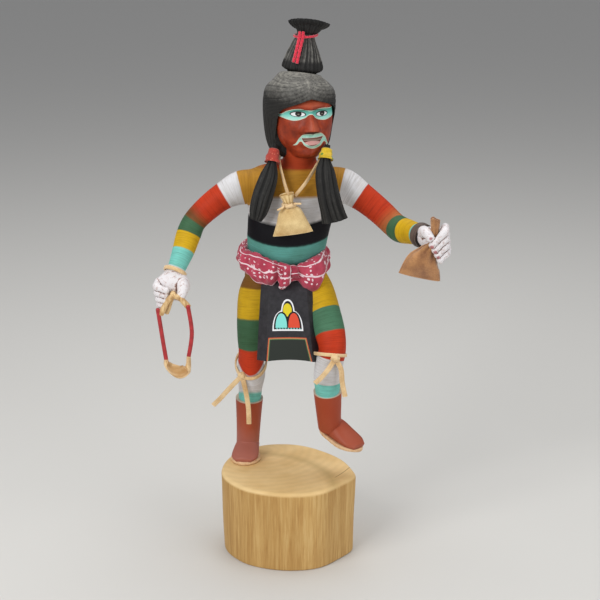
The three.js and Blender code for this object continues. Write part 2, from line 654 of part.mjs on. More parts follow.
const hanks = { right: [rightHank, 0xb03028], left: [leftHank, 0xd8b01c] };
for (const [side, [stations, wrapColour]] of Object.entries(hanks)) {
  const cloth = wrap(stations, laceThickness).subtract(hankPiece(stations, clearance));
  add("hair_hank_" + side, hankPiece(stations, 0).subtract(keepOut), 0x26241f, 0.7);
  add("hank_wrap_" + side, cloth.subtract(keepOut), wrapColour, 0.9);
}

const hanksGrown = joined(hankPiece(rightHank, clearance), hankPiece(leftHank, clearance),
  wrap(rightHank, laceThickness + clearance), wrap(leftHank, laceThickness + clearance));
add("neck_pouch", neckPouch(0).subtract(keepOut), 0xdcbc80, 0.9);
const pouchGrown = neckPouch(clearance);
add("neck_lace", neckLace().subtract(keepOut).subtract(pouchGrown).subtract(hanksGrown), 0xd8b888, 0.9);
add("pouch_tie", pouchTie().subtract(pouchGrown).subtract(keepOut), 0xd8b888, 0.9);

// The slot that a panel needs in the sash: the panel with its clearance all round
function slotFor(face) {
  const wider = 1 + (2 * clearance) / (6.4 * share);
  const grown = (u, v) => face(wider * u, 1.04 * v - 0.02).map((c, i) => (i === 1 ? c - clearance / share : c));
  return panel(grown, apronThickness + 2 * clearance);
}

const slots = joined(slotFor(apronFront), slotFor(apronBack));
add("waist_sash", sash().subtract(keepOut).subtract(slots), 0xb8344a, 0.9);
add("breechcloth_front", panel(apronFront, apronThickness).subtract(keepOut), 0x26242a, 0.8);
add("breechcloth_back", panel(apronBack, apronThickness).subtract(keepOut), 0x26242a, 0.8);

add("slingshot_fork", slingFork(0), 0xd0b080, 0.7);
const bandEnds = joined(slingFork(clearance), slingPocket(clearance));
for (const [index, side] of ["right", "left"].entries()) {
  add("sling_band_" + side, slingBand(index).subtract(bandEnds), 0xc02838, 0.5);
}
add("sling_pocket", slingPocket(), 0xd8b888, 0.9);

add("hand_bag", handBag(0), 0x9c6a3c, 0.95);
add("wrist_lace", wristLace().subtract(keepOut), 0xd8b888, 0.9);
add("wrist_strap", wristStrap().subtract(keepOut), 0x4a3428, 0.8);
add("knee_tie_right", kneeTieRight().subtract(keepOut), 0xd8b888, 0.9);
add("knee_tie_left", kneeTieLeft().subtract(keepOut), 0xd8b888, 0.9);

export default object;
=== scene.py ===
# %% [markdown]
# # A carved dancer on a slice of root wood
#
# The real thing is one carving in soft root wood, painted in flat bands, with real leather, cloth, yarn and
# rubber tied to it. The solids of every piece are already in the frame, at their real size. Here each of them
# gets its fine surface: the same stations as the solid, but with close rings, carved relief and a finish.

import bpy
import numpy as np
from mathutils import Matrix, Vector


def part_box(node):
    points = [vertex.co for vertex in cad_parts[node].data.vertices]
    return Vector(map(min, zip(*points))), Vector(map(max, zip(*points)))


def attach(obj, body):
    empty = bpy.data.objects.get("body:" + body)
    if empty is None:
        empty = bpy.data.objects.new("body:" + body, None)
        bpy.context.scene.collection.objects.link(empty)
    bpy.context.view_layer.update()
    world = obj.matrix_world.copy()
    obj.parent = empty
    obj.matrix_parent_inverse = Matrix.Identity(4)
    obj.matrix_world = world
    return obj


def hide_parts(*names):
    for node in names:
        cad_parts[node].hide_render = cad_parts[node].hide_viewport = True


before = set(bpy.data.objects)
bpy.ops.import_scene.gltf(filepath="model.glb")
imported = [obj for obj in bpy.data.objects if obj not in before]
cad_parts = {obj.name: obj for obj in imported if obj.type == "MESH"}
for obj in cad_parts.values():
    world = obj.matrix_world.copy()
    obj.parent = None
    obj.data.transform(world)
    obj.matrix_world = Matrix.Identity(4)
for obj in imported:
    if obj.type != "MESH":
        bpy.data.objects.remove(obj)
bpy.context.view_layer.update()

# %% [markdown]
# ## Camera, light and floor
#
# A long lens a metre away, a little above the figure's waist, flattens it as in a catalogue picture. The
# camera looks down by 17 degrees. Soft area lights stand for a light tent: a large one on the left, a fill
# on the right and one above.

# %% Camera, lights and floor
scene = bpy.context.scene
camera_tilt = np.radians(17)
camera_target = np.array([0.008, 0, 0.178])
camera_distance = 1.0

camera = bpy.data.objects.new("camera", bpy.data.cameras.new("camera"))
camera.data.lens = 90
camera.data.sensor_width = 36
camera.location = camera_target + camera_distance * np.array([0, -np.cos(camera_tilt), np.sin(camera_tilt)])
camera.rotation_euler = (np.pi / 2 - camera_tilt, 0, 0)
scene.collection.objects.link(camera)
scene.camera = camera


def add_light(name, place, size, watts):
    """An area light that faces the figure's chest from place."""
    light = bpy.data.objects.new(name, bpy.data.lights.new(name, "AREA"))
    light.data.size = size
    light.data.energy = watts
    light.location = place
    aim = bpy.data.objects.new(name + "_aim", None)
    aim.location = (0, 0, 0.2)
    toward = light.location - aim.location
    light.rotation_euler = toward.to_track_quat("Z", "Y").to_euler()
    bpy.data.objects.remove(aim)
    scene.collection.objects.link(light)


add_light("window_left", (-0.75, -0.85, 0.85), 0.7, 11)
add_light("fill_right", (0.9, -0.7, 0.45), 0.8, 5)
add_light("top", (0.1, 0.25, 1.2), 0.8, 7)

scene.world = bpy.data.worlds.new("studio")
scene.world.use_nodes = True
studio = scene.world.node_tree.nodes["Background"].inputs
studio["Color"].default_value = (0.93, 0.95, 1, 1)
studio["Strength"].default_value = 0.35
scene.view_settings.view_transform = "Standard"
print("camera", camera.location[:], "lens", camera.data.lens)

# %% [markdown]
# ## Numbers into surfaces
#
# Every carved form is a section carried along a path. The path and the section's two half widths are given at
# a few stations, in hundredths of the figure's height, and a spline fills in between them, so a form is one
# array of rings. The same few stations shape the solids, which keeps both models together.

# %% The figure's own measure
figure_height = 0.272
share = figure_height / 100
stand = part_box("base")[1][2] + 0.0003


def place(rows):
    """Positions in hundredths of the figure's height above the base, as metres."""
    return np.asarray(rows, float) * share + np.array([0, 0, stand])


def unit(rows):
    """Each row divided by its length."""
    rows = np.asarray(rows, float)
    return rows / np.maximum(np.linalg.norm(rows, axis=-1, keepdims=True), 1e-12)


def spline(rows, t):
    """Rows read at t, from 0 to the last row: between two rows a cubic whose slope at each row is half the
    step between its neighbours."""
    rows = np.asarray(rows, float)
    i = np.clip(t.astype(int), 0, len(rows) - 2)
    w = (t - i)[:, None]
    before, start = rows[np.maximum(i - 1, 0)], rows[i]
    end, after = rows[i + 1], rows[np.minimum(i + 2, len(rows) - 1)]
    leave, arrive = (end - before) / 2, (after - start) / 2
    curve = (2 * w**3 - 3 * w**2 + 1) * start + (w**3 - 2 * w**2 + w) * leave
    return curve + (3 * w**2 - 2 * w**3) * end + (w**3 - w**2) * arrive


# %% A section carried along a path, closed by rounded ends
def loft(stations, rows=60, around=40, across=(1, 0, 0), carve=None, dome=0.4, flat=2.0, caps=5):
    """Rings of a form. The centre and the half widths a, b follow the stations by the spline; ring point at
    angle q is centre + side a s cos q + front b s sin q, where s = carve(q, t). flat over 2 squares the
    section. The ends shrink as the cosine of a quarter turn while they move out by dome times the smaller
    half width."""
    t = np.linspace(0, len(stations) - 1, rows)
    table = spline(stations, t)
    centre, girth = place(table[:, :3]), table[:, 3:5] * share
    along = unit(np.gradient(centre, axis=0))
    swing = np.linspace(0, np.pi / 2, caps + 2)[1:-1]
    reach = np.broadcast_to(dome, 2) * girth.min(axis=1)[[0, -1]]
    head, tail = centre[0] - along[0] * reach[0], centre[-1] + along[-1] * reach[1]
    low, high = np.cos(swing[::-1]), np.cos(swing)
    centre = np.concatenate([
        centre[0] - along[0] * reach[0] * np.sin(swing[::-1])[:, None], centre,
        centre[-1] + along[-1] * reach[1] * np.sin(swing)[:, None],
    ])
    girth = np.concatenate([girth[0] * low[:, None], girth, girth[-1] * high[:, None]])
    along = np.concatenate([np.repeat(along[:1], caps, 0), along, np.repeat(along[-1:], caps, 0)])
    t = np.concatenate([np.zeros(caps), t, np.full(caps, t[-1])])
    side = unit(np.asarray(across, float) - along * (along @ unit(across))[:, None])
    front = np.cross(along, side)
    angle = np.linspace(0, 2 * np.pi, around, endpoint=False)
    c, s = np.cos(angle), np.sin(angle)
    squared = (np.abs(c) ** flat + np.abs(s) ** flat) ** (-1 / flat)
    scale = squared[None, :] * (carve(angle[None, :], t[:, None]) if carve else np.ones((len(t), around)))
    rings = centre[:, None] + side[:, None] * (girth[:, :1] * scale * c)[..., None]
    rings = rings + front[:, None] * (girth[:, 1:] * scale * s)[..., None]
    return rings, head, tail


def closed_surface(rings, head, tail):
    """Points and faces of stacked rings: a quad joins each pair of points to the next ring, a fan closes
    each end."""
    rows, around = rings.shape[:2]
    index = np.arange(rows * around).reshape(rows, around)
    turned = np.roll(index, -1, axis=1)
    quads = np.stack([index[:-1], turned[:-1], turned[1:], index[1:]], -1).reshape(-1, 4)
    first, last = rows * around, rows * around + 1
    start = np.stack([np.full(around, first), turned[0], index[0]], -1)
    end = np.stack([np.full(around, last), index[-1], turned[-1]], -1)
    points = np.concatenate([rings.reshape(-1, 3), [head, tail]])
    return points, quads.tolist() + start.tolist() + end.tolist()


def ring_surface(rings):
    """Points and faces of rings that close on themselves both ways, like a wreath."""
    rows, around = rings.shape[:2]
    index = np.arange(rows * around).reshape(rows, around)
    turned, after = np.roll(index, -1, axis=1), np.roll(index, -1, axis=0)
    quads = np.stack([index, after, np.roll(after, -1, axis=1), turned], -1).reshape(-1, 4)
    return rings.reshape(-1, 3), quads.tolist()


# %% Points and faces into a mesh, and a mesh into a piece of the object
def mesh_of(name, points, faces, smooth=True):
    """A mesh with these points and faces, shaded smooth unless told otherwise."""
    mesh = bpy.data.meshes.new(name)
    mesh.from_pydata(points, [], faces)
    mesh.polygons.foreach_set("use_smooth", np.full(len(mesh.polygons), smooth))
    mesh.update()
    return mesh


def piece_of(name, mesh, materials=(), replaces=None):
    """Links the mesh as a piece that rides on the object, with its finishes and the node that it stands
    for."""
    piece = bpy.data.objects.new(name, mesh)
    scene.collection.objects.link(piece)
    for material in materials:
        mesh.materials.append(material)
    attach(piece, "root")
    if replaces:
        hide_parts(*replaces)
    print(name, len(mesh.polygons), "faces")
    return piece


def carved_values(carve, stations, rows, around, caps=5):
    """The carve function's values at every point of a closed loft, the two end points last."""
    t = np.concatenate([np.zeros(caps), np.linspace(0, len(stations) - 1, rows),
                        np.full(caps, len(stations) - 1.0)])
    values = carve(np.linspace(0, 2 * np.pi, around, endpoint=False)[None, :], t[:, None])
    return np.concatenate([values.ravel(), values[0, :1], values[-1, :1]])


def store(mesh, name, values, domain="POINT"):
    """Keeps one number per point or corner in the mesh, where a material can read it."""
    layer = mesh.attributes.new(name, "FLOAT", domain)
    layer.data.foreach_set("value", np.ascontiguousarray(values, np.float32).ravel())


def points_of(mesh):
    """The mesh's points as one array of rows x, y, z."""
    flat = np.empty(len(mesh.vertices) * 3)
    mesh.vertices.foreach_get("co", flat)
    return flat.reshape(-1, 3)


# %% [markdown]
# ## Paint and materials in nodes
#
# A material here is a short chain of nodes. One helper adds a node, sets it up and plugs values or other
# nodes into it. Colours are written as the hex values a painter would pick on screen, and turned to linear
# light once.

# %% Colours and one helper for nodes
def rgb(code):
    """An sRGB hex colour as linear light: c / 12.92 in the dark end, ((c + 0.055) / 1.055) to the power 2.4
    above."""
    c = np.array([int(code[k:k + 2], 16) for k in (1, 3, 5)]) / 255
    return (*np.where(c <= 0.04045, c / 12.92, ((c + 0.055) / 1.055) ** 2.4), 1)


def add(tree, kind, settings=(), inputs=(), output=0):
    """Adds one node. settings are its properties, with stops for a ramp's colours or a curve's points;
    inputs are values or the outputs of other nodes. Gives back the output that is named."""
    node = tree.nodes.new("ShaderNode" + kind)
    for key, value in dict(settings).items():
        if key == "stops":
            ramp = node.color_ramp
            while len(ramp.elements) < len(value):
                ramp.elements.new(1)
            for element, (position, colour) in zip(ramp.elements, value):
                element.position = position
                element.color = colour if len(colour) == 4 else (*colour, 1)
        elif key == "interpolation":
            node.color_ramp.interpolation = value
        elif key == "curve":
            points = node.mapping.curves[0].points
            while len(points) < len(value):
                points.new(1, 1)
            for point, (x, y) in zip(points, value):
                point.location = (x, y)
                point.handle_type = "VECTOR" if len(value) < 3 else "AUTO"
            node.mapping.update()
        else:
            setattr(node, key, value)
    for key, value in dict(inputs).items():
        if isinstance(value, bpy.types.NodeSocket):
            tree.links.new(value, node.inputs[key])
        else:
            node.inputs[key].default_value = value
    return node.outputs[output]


def finish(name, **constants):
    """A new material with the shader's own plain values set: material, node tree, shader node and the place
    on the object, which the patterns read."""
    material = bpy.data.materials.new(name)
    material.use_nodes = True
    shader = material.node_tree.nodes["Principled BSDF"]
    for key, value in constants.items():
        shader.inputs[key.replace("_", " ")].default_value = value
    return material, material.node_tree, shader, add(material.node_tree, "TexCoord", output="Object")


# %% [markdown]
# ## The base: a sanded slice of root
#
# Cottonwood root is pale, soft and nearly knot-free. The maker sawed a slice, sanded its edge round and
# left one flat side. Its grain runs up the side as fine streaks and shows on top as faint rings with one
# dark check. The outline is a closed curve through the points of the solid's plan, and nine levels round
# each edge.

# %% Base shape
base_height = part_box("base")[1][2]
base_width, base_depth = 0.092, 0.089
base_round, foot_round = 0.003, 0.0012
base_around, inner_rings, edge_levels, side_levels = 360, 18, 9, 24
hand_wave = 0.0003
base_plan = np.array([
    [-0.5, 0.05], [-0.475, -0.17], [-0.35, -0.36], [-0.2, -0.455], [-0.03, -0.5], [0.14, -0.49],
    [0.27, -0.43], [0.39, -0.3], [0.495, -0.15], [0.485, -0.02], [0.41, 0.18], [0.27, 0.35], [0.1, 0.47],
    [-0.08, 0.5], [-0.25, 0.45], [-0.43, 0.28],
]) * [base_width, base_depth]


def base_surface():
    """The plan's closed spline, scaled at each level by the taper of the slice and by a quarter round at
    its edges, with hand-sanded unevenness: two slow waves of a third of a millimetre."""
    closed = np.concatenate([base_plan[-3:], base_plan, base_plan[:3]])
    plan = spline(closed, np.linspace(3, 3 + len(base_plan), base_around, endpoint=False))
    turn = np.linspace(0, np.pi / 2, edge_levels)
    foot = np.stack([foot_round * (1 - np.cos(turn)), foot_round * (1 - np.sin(turn))], -1)
    rim = np.stack([base_height - base_round * (1 - np.sin(turn)), base_round * (1 - np.cos(turn))], -1)
    side = np.linspace(foot_round, base_height - base_round, side_levels + 2)[1:-1]
    side = np.stack([side, np.zeros(side_levels)], -1)
    level = np.concatenate([foot, side, rim])
    inner = np.linspace(0.94, 0.05, inner_rings)
    z = np.concatenate([np.zeros(inner_rings), level[:, 0], np.full(inner_rings, base_height)])
    inset = np.concatenate([np.full(inner_rings, foot_round), level[:, 1], np.full(inner_rings, base_round)])
    shrink = np.concatenate([inner[::-1], np.ones(len(level)), inner])
    taper = 0.965 + 0.035 * np.clip(z / base_height, 0, 1)
    radius = np.linalg.norm(plan, axis=1)
    scale = shrink[:, None] * (taper[:, None] - inset[:, None] / radius)
    angle = np.linspace(0, 2 * np.pi, base_around, endpoint=False)
    fade = np.sin(np.pi * np.clip(z / base_height, 0, 1))[:, None]
    wave = hand_wave * np.sin(3 * angle + 60 * z[:, None]) * fade
    rings = np.empty((len(z), base_around, 3))
    rings[..., :2] = plan[None] * scale[..., None] + unit(plan)[None] * wave[..., None]
    rings[..., 2] = z[:, None]
    return closed_surface(rings, (0, 0, 0), (0, 0, base_height))


# %% Base finish: sanded cottonwood
# Bare wood, sanded to a matt sheen: streaks about 0.7 mm wide up the side, rings 3 mm apart on the top.
root_wood, tree, shader, where = finish("sanded cottonwood", Roughness=0.62, Specular_IOR_Level=0.35)
stretched = add(tree, "Mapping", inputs={"Vector": where, "Scale": (1, 1, 0.05)})
streaks = add(tree, "TexNoise", inputs={"Vector": stretched, "Scale": 560, "Detail": 4, "Roughness": 0.65})
broad = add(tree, "TexNoise", inputs={"Vector": stretched, "Scale": 60, "Detail": 3})
pith = add(tree, "Mapping", inputs={"Vector": where, "Location": (0.02, -0.03, 0), "Scale": (1, 1, 0.04)})
rings = add(tree, "TexWave", {"wave_type": "RINGS", "rings_direction": "Z"},
            {"Vector": pith, "Scale": 52, "Distortion": 3.5, "Detail": 3, "Detail Scale": 0.8}, "Fac")
side_tone = add(tree, "ValToRGB", {"stops": [(0.3, rgb("#b0854a")), (0.5, rgb("#c59e60")),
                                             (0.72, rgb("#d3b176"))]},
                {"Fac": streaks}, "Color")
patchy = add(tree, "ValToRGB", {"stops": [(0.35, rgb("#dccfb8")), (0.62, rgb("#ffffff"))]}, {"Fac": broad},
             "Color")
side_wood = add(tree, "MixRGB", {"blend_type": "MULTIPLY"},
                {"Fac": 0.6, "Color1": side_tone, "Color2": patchy})

# %% The sanded top: pale with faint rings, one soft dark growth arc and one thin check near the flat side
clouds = add(tree, "TexNoise", inputs={"Vector": where, "Scale": 45, "Detail": 3})
top_tone = add(tree, "ValToRGB", {"stops": [(0.35, rgb("#d9b57a")), (0.65, rgb("#e6c68e"))]}, {"Fac": clouds},
               "Color")
ringed = add(tree, "MixRGB", {"blend_type": "MULTIPLY"}, {"Fac": 0.05, "Color1": top_tone, "Color2": rings})


def near_circle(tree, middle, radius, width):
    """One on a circle in the plane, fading to zero a width away from it."""
    level = add(tree, "VectorMath", {"operation": "MULTIPLY"}, {0: where, 1: (1, 1, 0)})
    away = add(tree, "VectorMath", {"operation": "DISTANCE"}, {0: level, 1: (*middle, 0)}, "Value")
    off = add(tree, "Math", {"operation": "ABSOLUTE"}, {
        0: add(tree, "Math", {"operation": "SUBTRACT"}, {0: away, 1: radius})})
    return add(tree, "MapRange", inputs={"Value": off, "From Min": width, "From Max": 0.0})


# Both marks are stretches of large circles: middle and radius in metres
arc_middle, arc_radius, arc_width, arc_strength = (-0.027, -0.0314), 0.0577, 0.006, 0.38
check_middle, check_radius, check_width = (-0.0401, 0.0384), 0.0905, 0.0005
check_start, check_full = 0.031, 0.0325
near_arc = near_circle(tree, arc_middle, arc_radius, arc_width)
arc = add(tree, "Math", {"operation": "MULTIPLY"}, {0: near_arc, 1: arc_strength})
shaded = add(tree, "MixRGB", inputs={"Fac": arc, "Color1": ringed, "Color2": rgb("#a58a52")})
plan_x = add(tree, "SeparateXYZ", inputs={"Vector": where}, output="X")
at_edge = add(tree, "MapRange", inputs={"Value": plan_x, "From Min": check_start, "From Max": check_full})
near_check = near_circle(tree, check_middle, check_radius, check_width)
check = add(tree, "Math", {"operation": "MULTIPLY"}, {0: near_check, 1: at_edge})
checked = add(tree, "MixRGB", inputs={"Fac": check, "Color1": shaded, "Color2": rgb("#8a6c3c")})
upward = add(tree, "SeparateXYZ", inputs={"Vector": add(tree, "NewGeometry", output="Normal")}, output="Z")
on_top = add(tree, "MapRange", inputs={"Value": upward, "From Min": 0.1, "From Max": 0.55})
wood = add(tree, "MixRGB", inputs={"Fac": on_top, "Color1": side_wood, "Color2": checked})
tree.links.new(wood, shader.inputs["Base Color"])
press = add(tree, "MapRange", inputs={"Value": on_top, "To Min": 0.25, "To Max": 0.04})
bump = add(tree, "Bump", inputs={"Height": streaks, "Strength": press, "Distance": 0.0006})
tree.links.new(bump, shader.inputs["Normal"])

piece_of("root_base", mesh_of("root_base", *base_surface()), [root_wood], ["base"])

# %% [markdown]
# ## The carved figure
#
# The figure is one carving, so it becomes one mesh. Its parts are easiest to shape one by one as lofts:
# torso, arms, fists, head, hair, legs and boots. Boolean unions then join them, and the seam at the
# shoulders is smoothed so that an arm grows out of the chest as it does in wood. Each loft keeps its own
# number, which later tells the mesh which paint it wears.

# %% Stations of the body, in hundredths of the figure's height: x, y, z, half width, half depth
torso = [
    [-1.0, 7.8, 42.6, 4.6, 4.4], [-0.9, 7.8, 46.5, 9.4, 6.8], [-0.8, 7.6, 50.5, 9.8, 7.0],
    [-0.6, 7.6, 53.8, 9.0, 6.2], [-0.4, 6.6, 57.0, 9.7, 7.6], [0.0, 6.5, 60.5, 10.0, 7.8],
    [0.6, 7.1, 64.5, 10.5, 7.3], [1.4, 7.5, 68.5, 11.9, 7.3], [2.0, 7.5, 72.3, 12.2, 6.6],
    [2.5, 7.2, 75.0, 8.4, 5.2], [2.8, 6.8, 77.3, 4.5, 4.3], [2.9, 6.2, 80.5, 3.9, 4.1],
    [2.9, 6.0, 84.0, 3.6, 3.9],
]
right_arm = [
    [-6.0, 7.2, 71.2, 4.4, 4.4], [-11.3, 6.8, 71.0, 4.3, 4.2], [-15.6, 6.4, 69.1, 3.6, 3.4],
    [-19.6, 5.6, 66.2, 3.2, 3.1], [-22.8, 5.0, 63.0, 3.0, 2.9], [-24.3, 3.9, 59.9, 3.1, 3.0],
    [-25.5, 1.4, 56.4, 2.8, 2.7], [-27.0, -0.9, 52.8, 2.2, 2.2], [-28.2, -1.9, 50.2, 2.0, 2.2],
]
left_arm = [
    [8.0, 7.4, 71.6, 4.4, 4.4], [13.4, 7.0, 71.4, 4.3, 4.2], [17.8, 6.1, 69.0, 3.5, 3.3],
    [22.2, 5.0, 65.7, 3.2, 3.1], [25.6, 3.2, 62.8, 3.1, 3.0], [27.2, 0.6, 62.1, 3.2, 3.1],
    [29.2, -3.2, 62.4, 2.9, 2.8], [31.6, -7.6, 62.8, 2.3, 2.2], [32.9, -9.6, 62.8, 2.1, 2.0],
]
right_leg = [
    [-5.6, 7.8, 47.5, 5.0, 6.0], [-7.3, 7.6, 43.0, 5.2, 5.6], [-8.4, 6.9, 37.5, 4.5, 4.9],
    [-9.0, 6.0, 32.5, 3.8, 4.1], [-9.3, 5.4, 29.0, 3.2, 3.6], [-9.4, 5.8, 25.5, 3.4, 3.7],
    [-9.5, 6.9, 22.5, 3.6, 3.9], [-9.7, 7.6, 18.6, 3.0, 3.2], [-10.0, 7.8, 14.0, 2.8, 2.9],
]
left_leg = [
    [4.2, 7.4, 48.5, 4.8, 6.0], [6.6, 4.2, 45.0, 4.8, 5.6], [8.8, -0.6, 40.8, 4.2, 4.8],
    [10.3, -4.6, 37.2, 3.7, 4.1], [10.8, -6.6, 33.9, 3.3, 3.7], [10.1, -6.2, 30.2, 3.4, 3.7],
    [9.7, -5.2, 26.4, 3.4, 3.7], [9.7, -4.2, 22.4, 3.0, 3.1], [9.9, -3.3, 18.5, 2.7, 2.6],
]


# %% [markdown]
# ### The face
#
# The head is turned a little to its left. Its relief is a sum of soft bumps and hollows pushed forward out
# of an egg-shaped loft: nose, brow, eye hollows, cheeks, lips and chin. A bump is a Gaussian hill of a
# given width and height, which keeps every feature smooth, as sanded wood is.

# %% Head relief
face_turn = np.radians(16)
face_across = np.array([np.cos(face_turn), np.sin(face_turn), 0])
face_front = np.array([np.sin(face_turn), -np.cos(face_turn), 0])
head_middle = np.array([3.1, 6.3, 0])


def on_face(side, forward, z):
    """A place named by its distance across the face, forward from the head's middle, and height."""
    return list(head_middle + side * face_across + forward * face_front + [0, 0, z])


def hill(side, z, at, size, height):
    """A Gaussian hill or hollow on the face: height exp(-(ds / w)^2 - (dz / h)^2)."""
    return height * np.exp(-(((side - at[0]) / size[0]) ** 2) - ((z - at[1]) / size[1]) ** 2)


head = [
    [*on_face(0.2, 3.4, 79.9), 3.1, 3.9], [*on_face(0.4, 2.6, 82.6), 5.5, 5.6],
    [*on_face(0.35, 1.4, 86.2), 6.8, 7.0], [*on_face(0.2, 0.6, 90.2), 7.1, 7.5],
    [*on_face(0, 0.3, 94.2), 6.7, 7.3], [*on_face(0, 0, 97.4), 5.0, 6.0],
]


# Where a hill stands on the face, its half widths, and its height: first those on both sides, then the
# middle ones
paired_hills = [
    ((1.75, 86.8), (0.8, 0.75), 0.9),  # wing of the nose
    ((2.9, 90.5), (1.9, 1.0), -0.75),  # hollow of the eye
    ((2.9, 90.5), (1.25, 0.62), 0.42),  # eyeball
    ((3.1, 92.3), (2.2, 0.75), 0.5),  # brow
    ((4.2, 87.2), (1.8, 1.9), 0.55),  # cheek
    ((2.9, 84.4), (0.7, 1.9), -0.3),  # crease beside the mouth
]
middle_hills = [
    ((0, 92.6), (1.5, 0.7), 0.35),  # between the brows
    ((0.2, 85.2), (2.1, 0.5), 0.5),  # upper lip
    ((0.2, 84.1), (2.0, 0.38), -0.35),  # mouth
    ((0.2, 83.2), (1.9, 0.55), 0.6),  # lower lip
    ((0, 82.2), (2.2, 0.5), -0.25),  # hollow under the lip
    ((0, 80.9), (1.9, 0.9), 0.5),  # chin
]
side_shift, facing_depth = 0.1, 4.5


def head_surface():
    """The egg-shaped loft, pushed forward by the face's hills and hollows where it looks forward."""
    rings, top, bottom = loft(head, rows=150, around=170, across=face_across, dome=0.3)
    local = rings / share - np.array([0, 0, stand / share]) - head_middle
    side, forward, z = local @ face_across, local @ face_front, local[..., 2]
    side = side - side_shift
    nose_width = np.interp(z, [85.6, 86.6, 88.5, 91.0], [1.8, 2.05, 1.35, 0.95])
    nose_height = np.interp(z, [85.5, 86.1, 86.9, 89.0, 91.6, 93], [0, 2.1, 2.9, 1.9, 0.6, 0])
    push = nose_height * np.exp(-((side / nose_width) ** 2))
    push -= 0.5 * np.clip(z - 93.2, 0, 4)
    for way in (-1, 1):
        for (across, height), size, rise in paired_hills:
            push += hill(side, z, (way * across, height), size, rise)
    for at, size, rise in middle_hills:
        push += hill(side, z, at, size, rise)
    facing = np.clip(forward / facing_depth, 0, 1) ** 1.5
    return rings + (push * facing * share)[..., None] * face_front, top, bottom


# %% [markdown]
# ### The hair
#
# The hair is a cap with a centre part. Its locks are cut with a small gouge: they start at the part, sweep
# down over the temples and hang straight at the back. The grooves are the sharp-edged waves of an absolute
# sine, in a coordinate that leans over in front, and the window for the face is cut out of the cap by a
# Boolean.

# %% Hair relief
hair = [
    [2.6, 8.6, 79.6, 6.4, 4.4], [2.5, 8.2, 82.5, 7.7, 6.4], [2.5, 7.8, 87.0, 8.4, 7.8],
    [2.75, 7.35, 91.5, 8.8, 9.1], [2.9, 6.9, 95.2, 8.3, 9.5], [3.0, 7.0, 97.6, 6.2, 7.2],
    [3.1, 7.2, 98.7, 4.9, 5.6],
]
face_window = [[*on_face(0.15, 1.6, 85.5), 1, 1], [*on_face(0.15, 6, 85.6), 1.02, 1.02],
               [*on_face(0.15, 14, 85.8), 1.08, 1.08]]
parting = -np.pi / 2 + face_turn
groove_count = 40
groove_depth, fine_depth, ridge_height = 0.018, 0.01, 0.006


def hairline(angle, t):
    """The window's outline: straight sides 6.95 and 7.4 from its middle, and above them a low gable 8.1
    high whose slopes fall by 0.34 and 0.28, blended by summing the inverses of the three distances to the
    tenth power."""
    left = np.cos(angle) < 0
    c, s = np.abs(np.cos(angle)), np.sin(angle)
    gable = (np.clip(s, 0, 1) + np.where(left, 0.34, 0.28) * c) / 8.1
    inverse = (c / np.where(left, 6.95, 7.4)) ** 10 + np.where(s > 0, gable,
                                                               0) ** 10 + (np.clip(-s, 0, 1) / 8.8) ** 10
    return inverse ** -0.1 + 0 * t


def hair_grooves(angle, t):
    """Depth of the gouge marks: |sin| of the angle from the parting, leaned over above the forehead, plus a
    finer set at 2.3 times the count, and one thin ridge at the parting itself."""
    turn = np.angle(np.exp(1j * (angle - parting)))
    lean = 0.95 * np.clip(t - 2.4, 0, 4) * np.sign(turn) * np.exp(-((turn / 1.5) ** 2))
    phase = groove_count / 2 * (turn + lean) + 0.5 * np.sin(2.1 * t + 3 * turn)
    coarse = 1 - np.abs(np.sin(phase))
    fine = 1 - np.abs(np.sin(2.3 * phase + 1 + 0.6 * np.sin(4 * t)))
    part = np.exp(-((turn / 0.04) ** 2)) * np.clip(t - 3, 0, 1) * np.clip((5.3 - t) * 4, 0, 1)
    fade = np.clip((5.5 - t) * 3, 0.1, 1)
    cut = (groove_depth * coarse**2.5 + fine_depth * fine**2) * (1 - part) * fade
    return 1 - cut + ridge_height * part


# %% [markdown]
# ### Hands and boots
#
# A fist is its back, four fingers that bend twice and a thumb over them, all small lofts. A boot is a
# shaft, a foot and a flat sole; the sole's outline is an ellipse that is pinched at the arch and drawn to a
# point at the toe.

# %% Fists and boots as lists of forms
def fist(back, across, first, step, thumb):
    """The back of the hand, four fingers side by side that wrap round what it holds, and a thumb over them:
    finger n runs through the forefinger's knuckle, bend and tip moved by n steps, and swells at its two
    joints."""
    swollen = lambda angle, t: 1 + 0.09 * np.cos(2 * np.pi * t) - 0.05 * np.abs(np.sin(3.1 * np.pi * t)) ** 6
    forms = [loft(back, rows=30, around=44, across=across, dome=0.5)]
    for n in range(4):
        knuckle, bend, tip = np.array(first, float) + n * np.array(step, float)
        forms.append(loft([[*knuckle, 0.95, 0.95], [*bend, 0.95, 0.95], [*tip, 0.75, 0.75]], rows=34,
                          around=26,
                          carve=swollen, dome=0.6))
    forms.append(loft(thumb, rows=26, around=24, dome=0.6))
    return forms


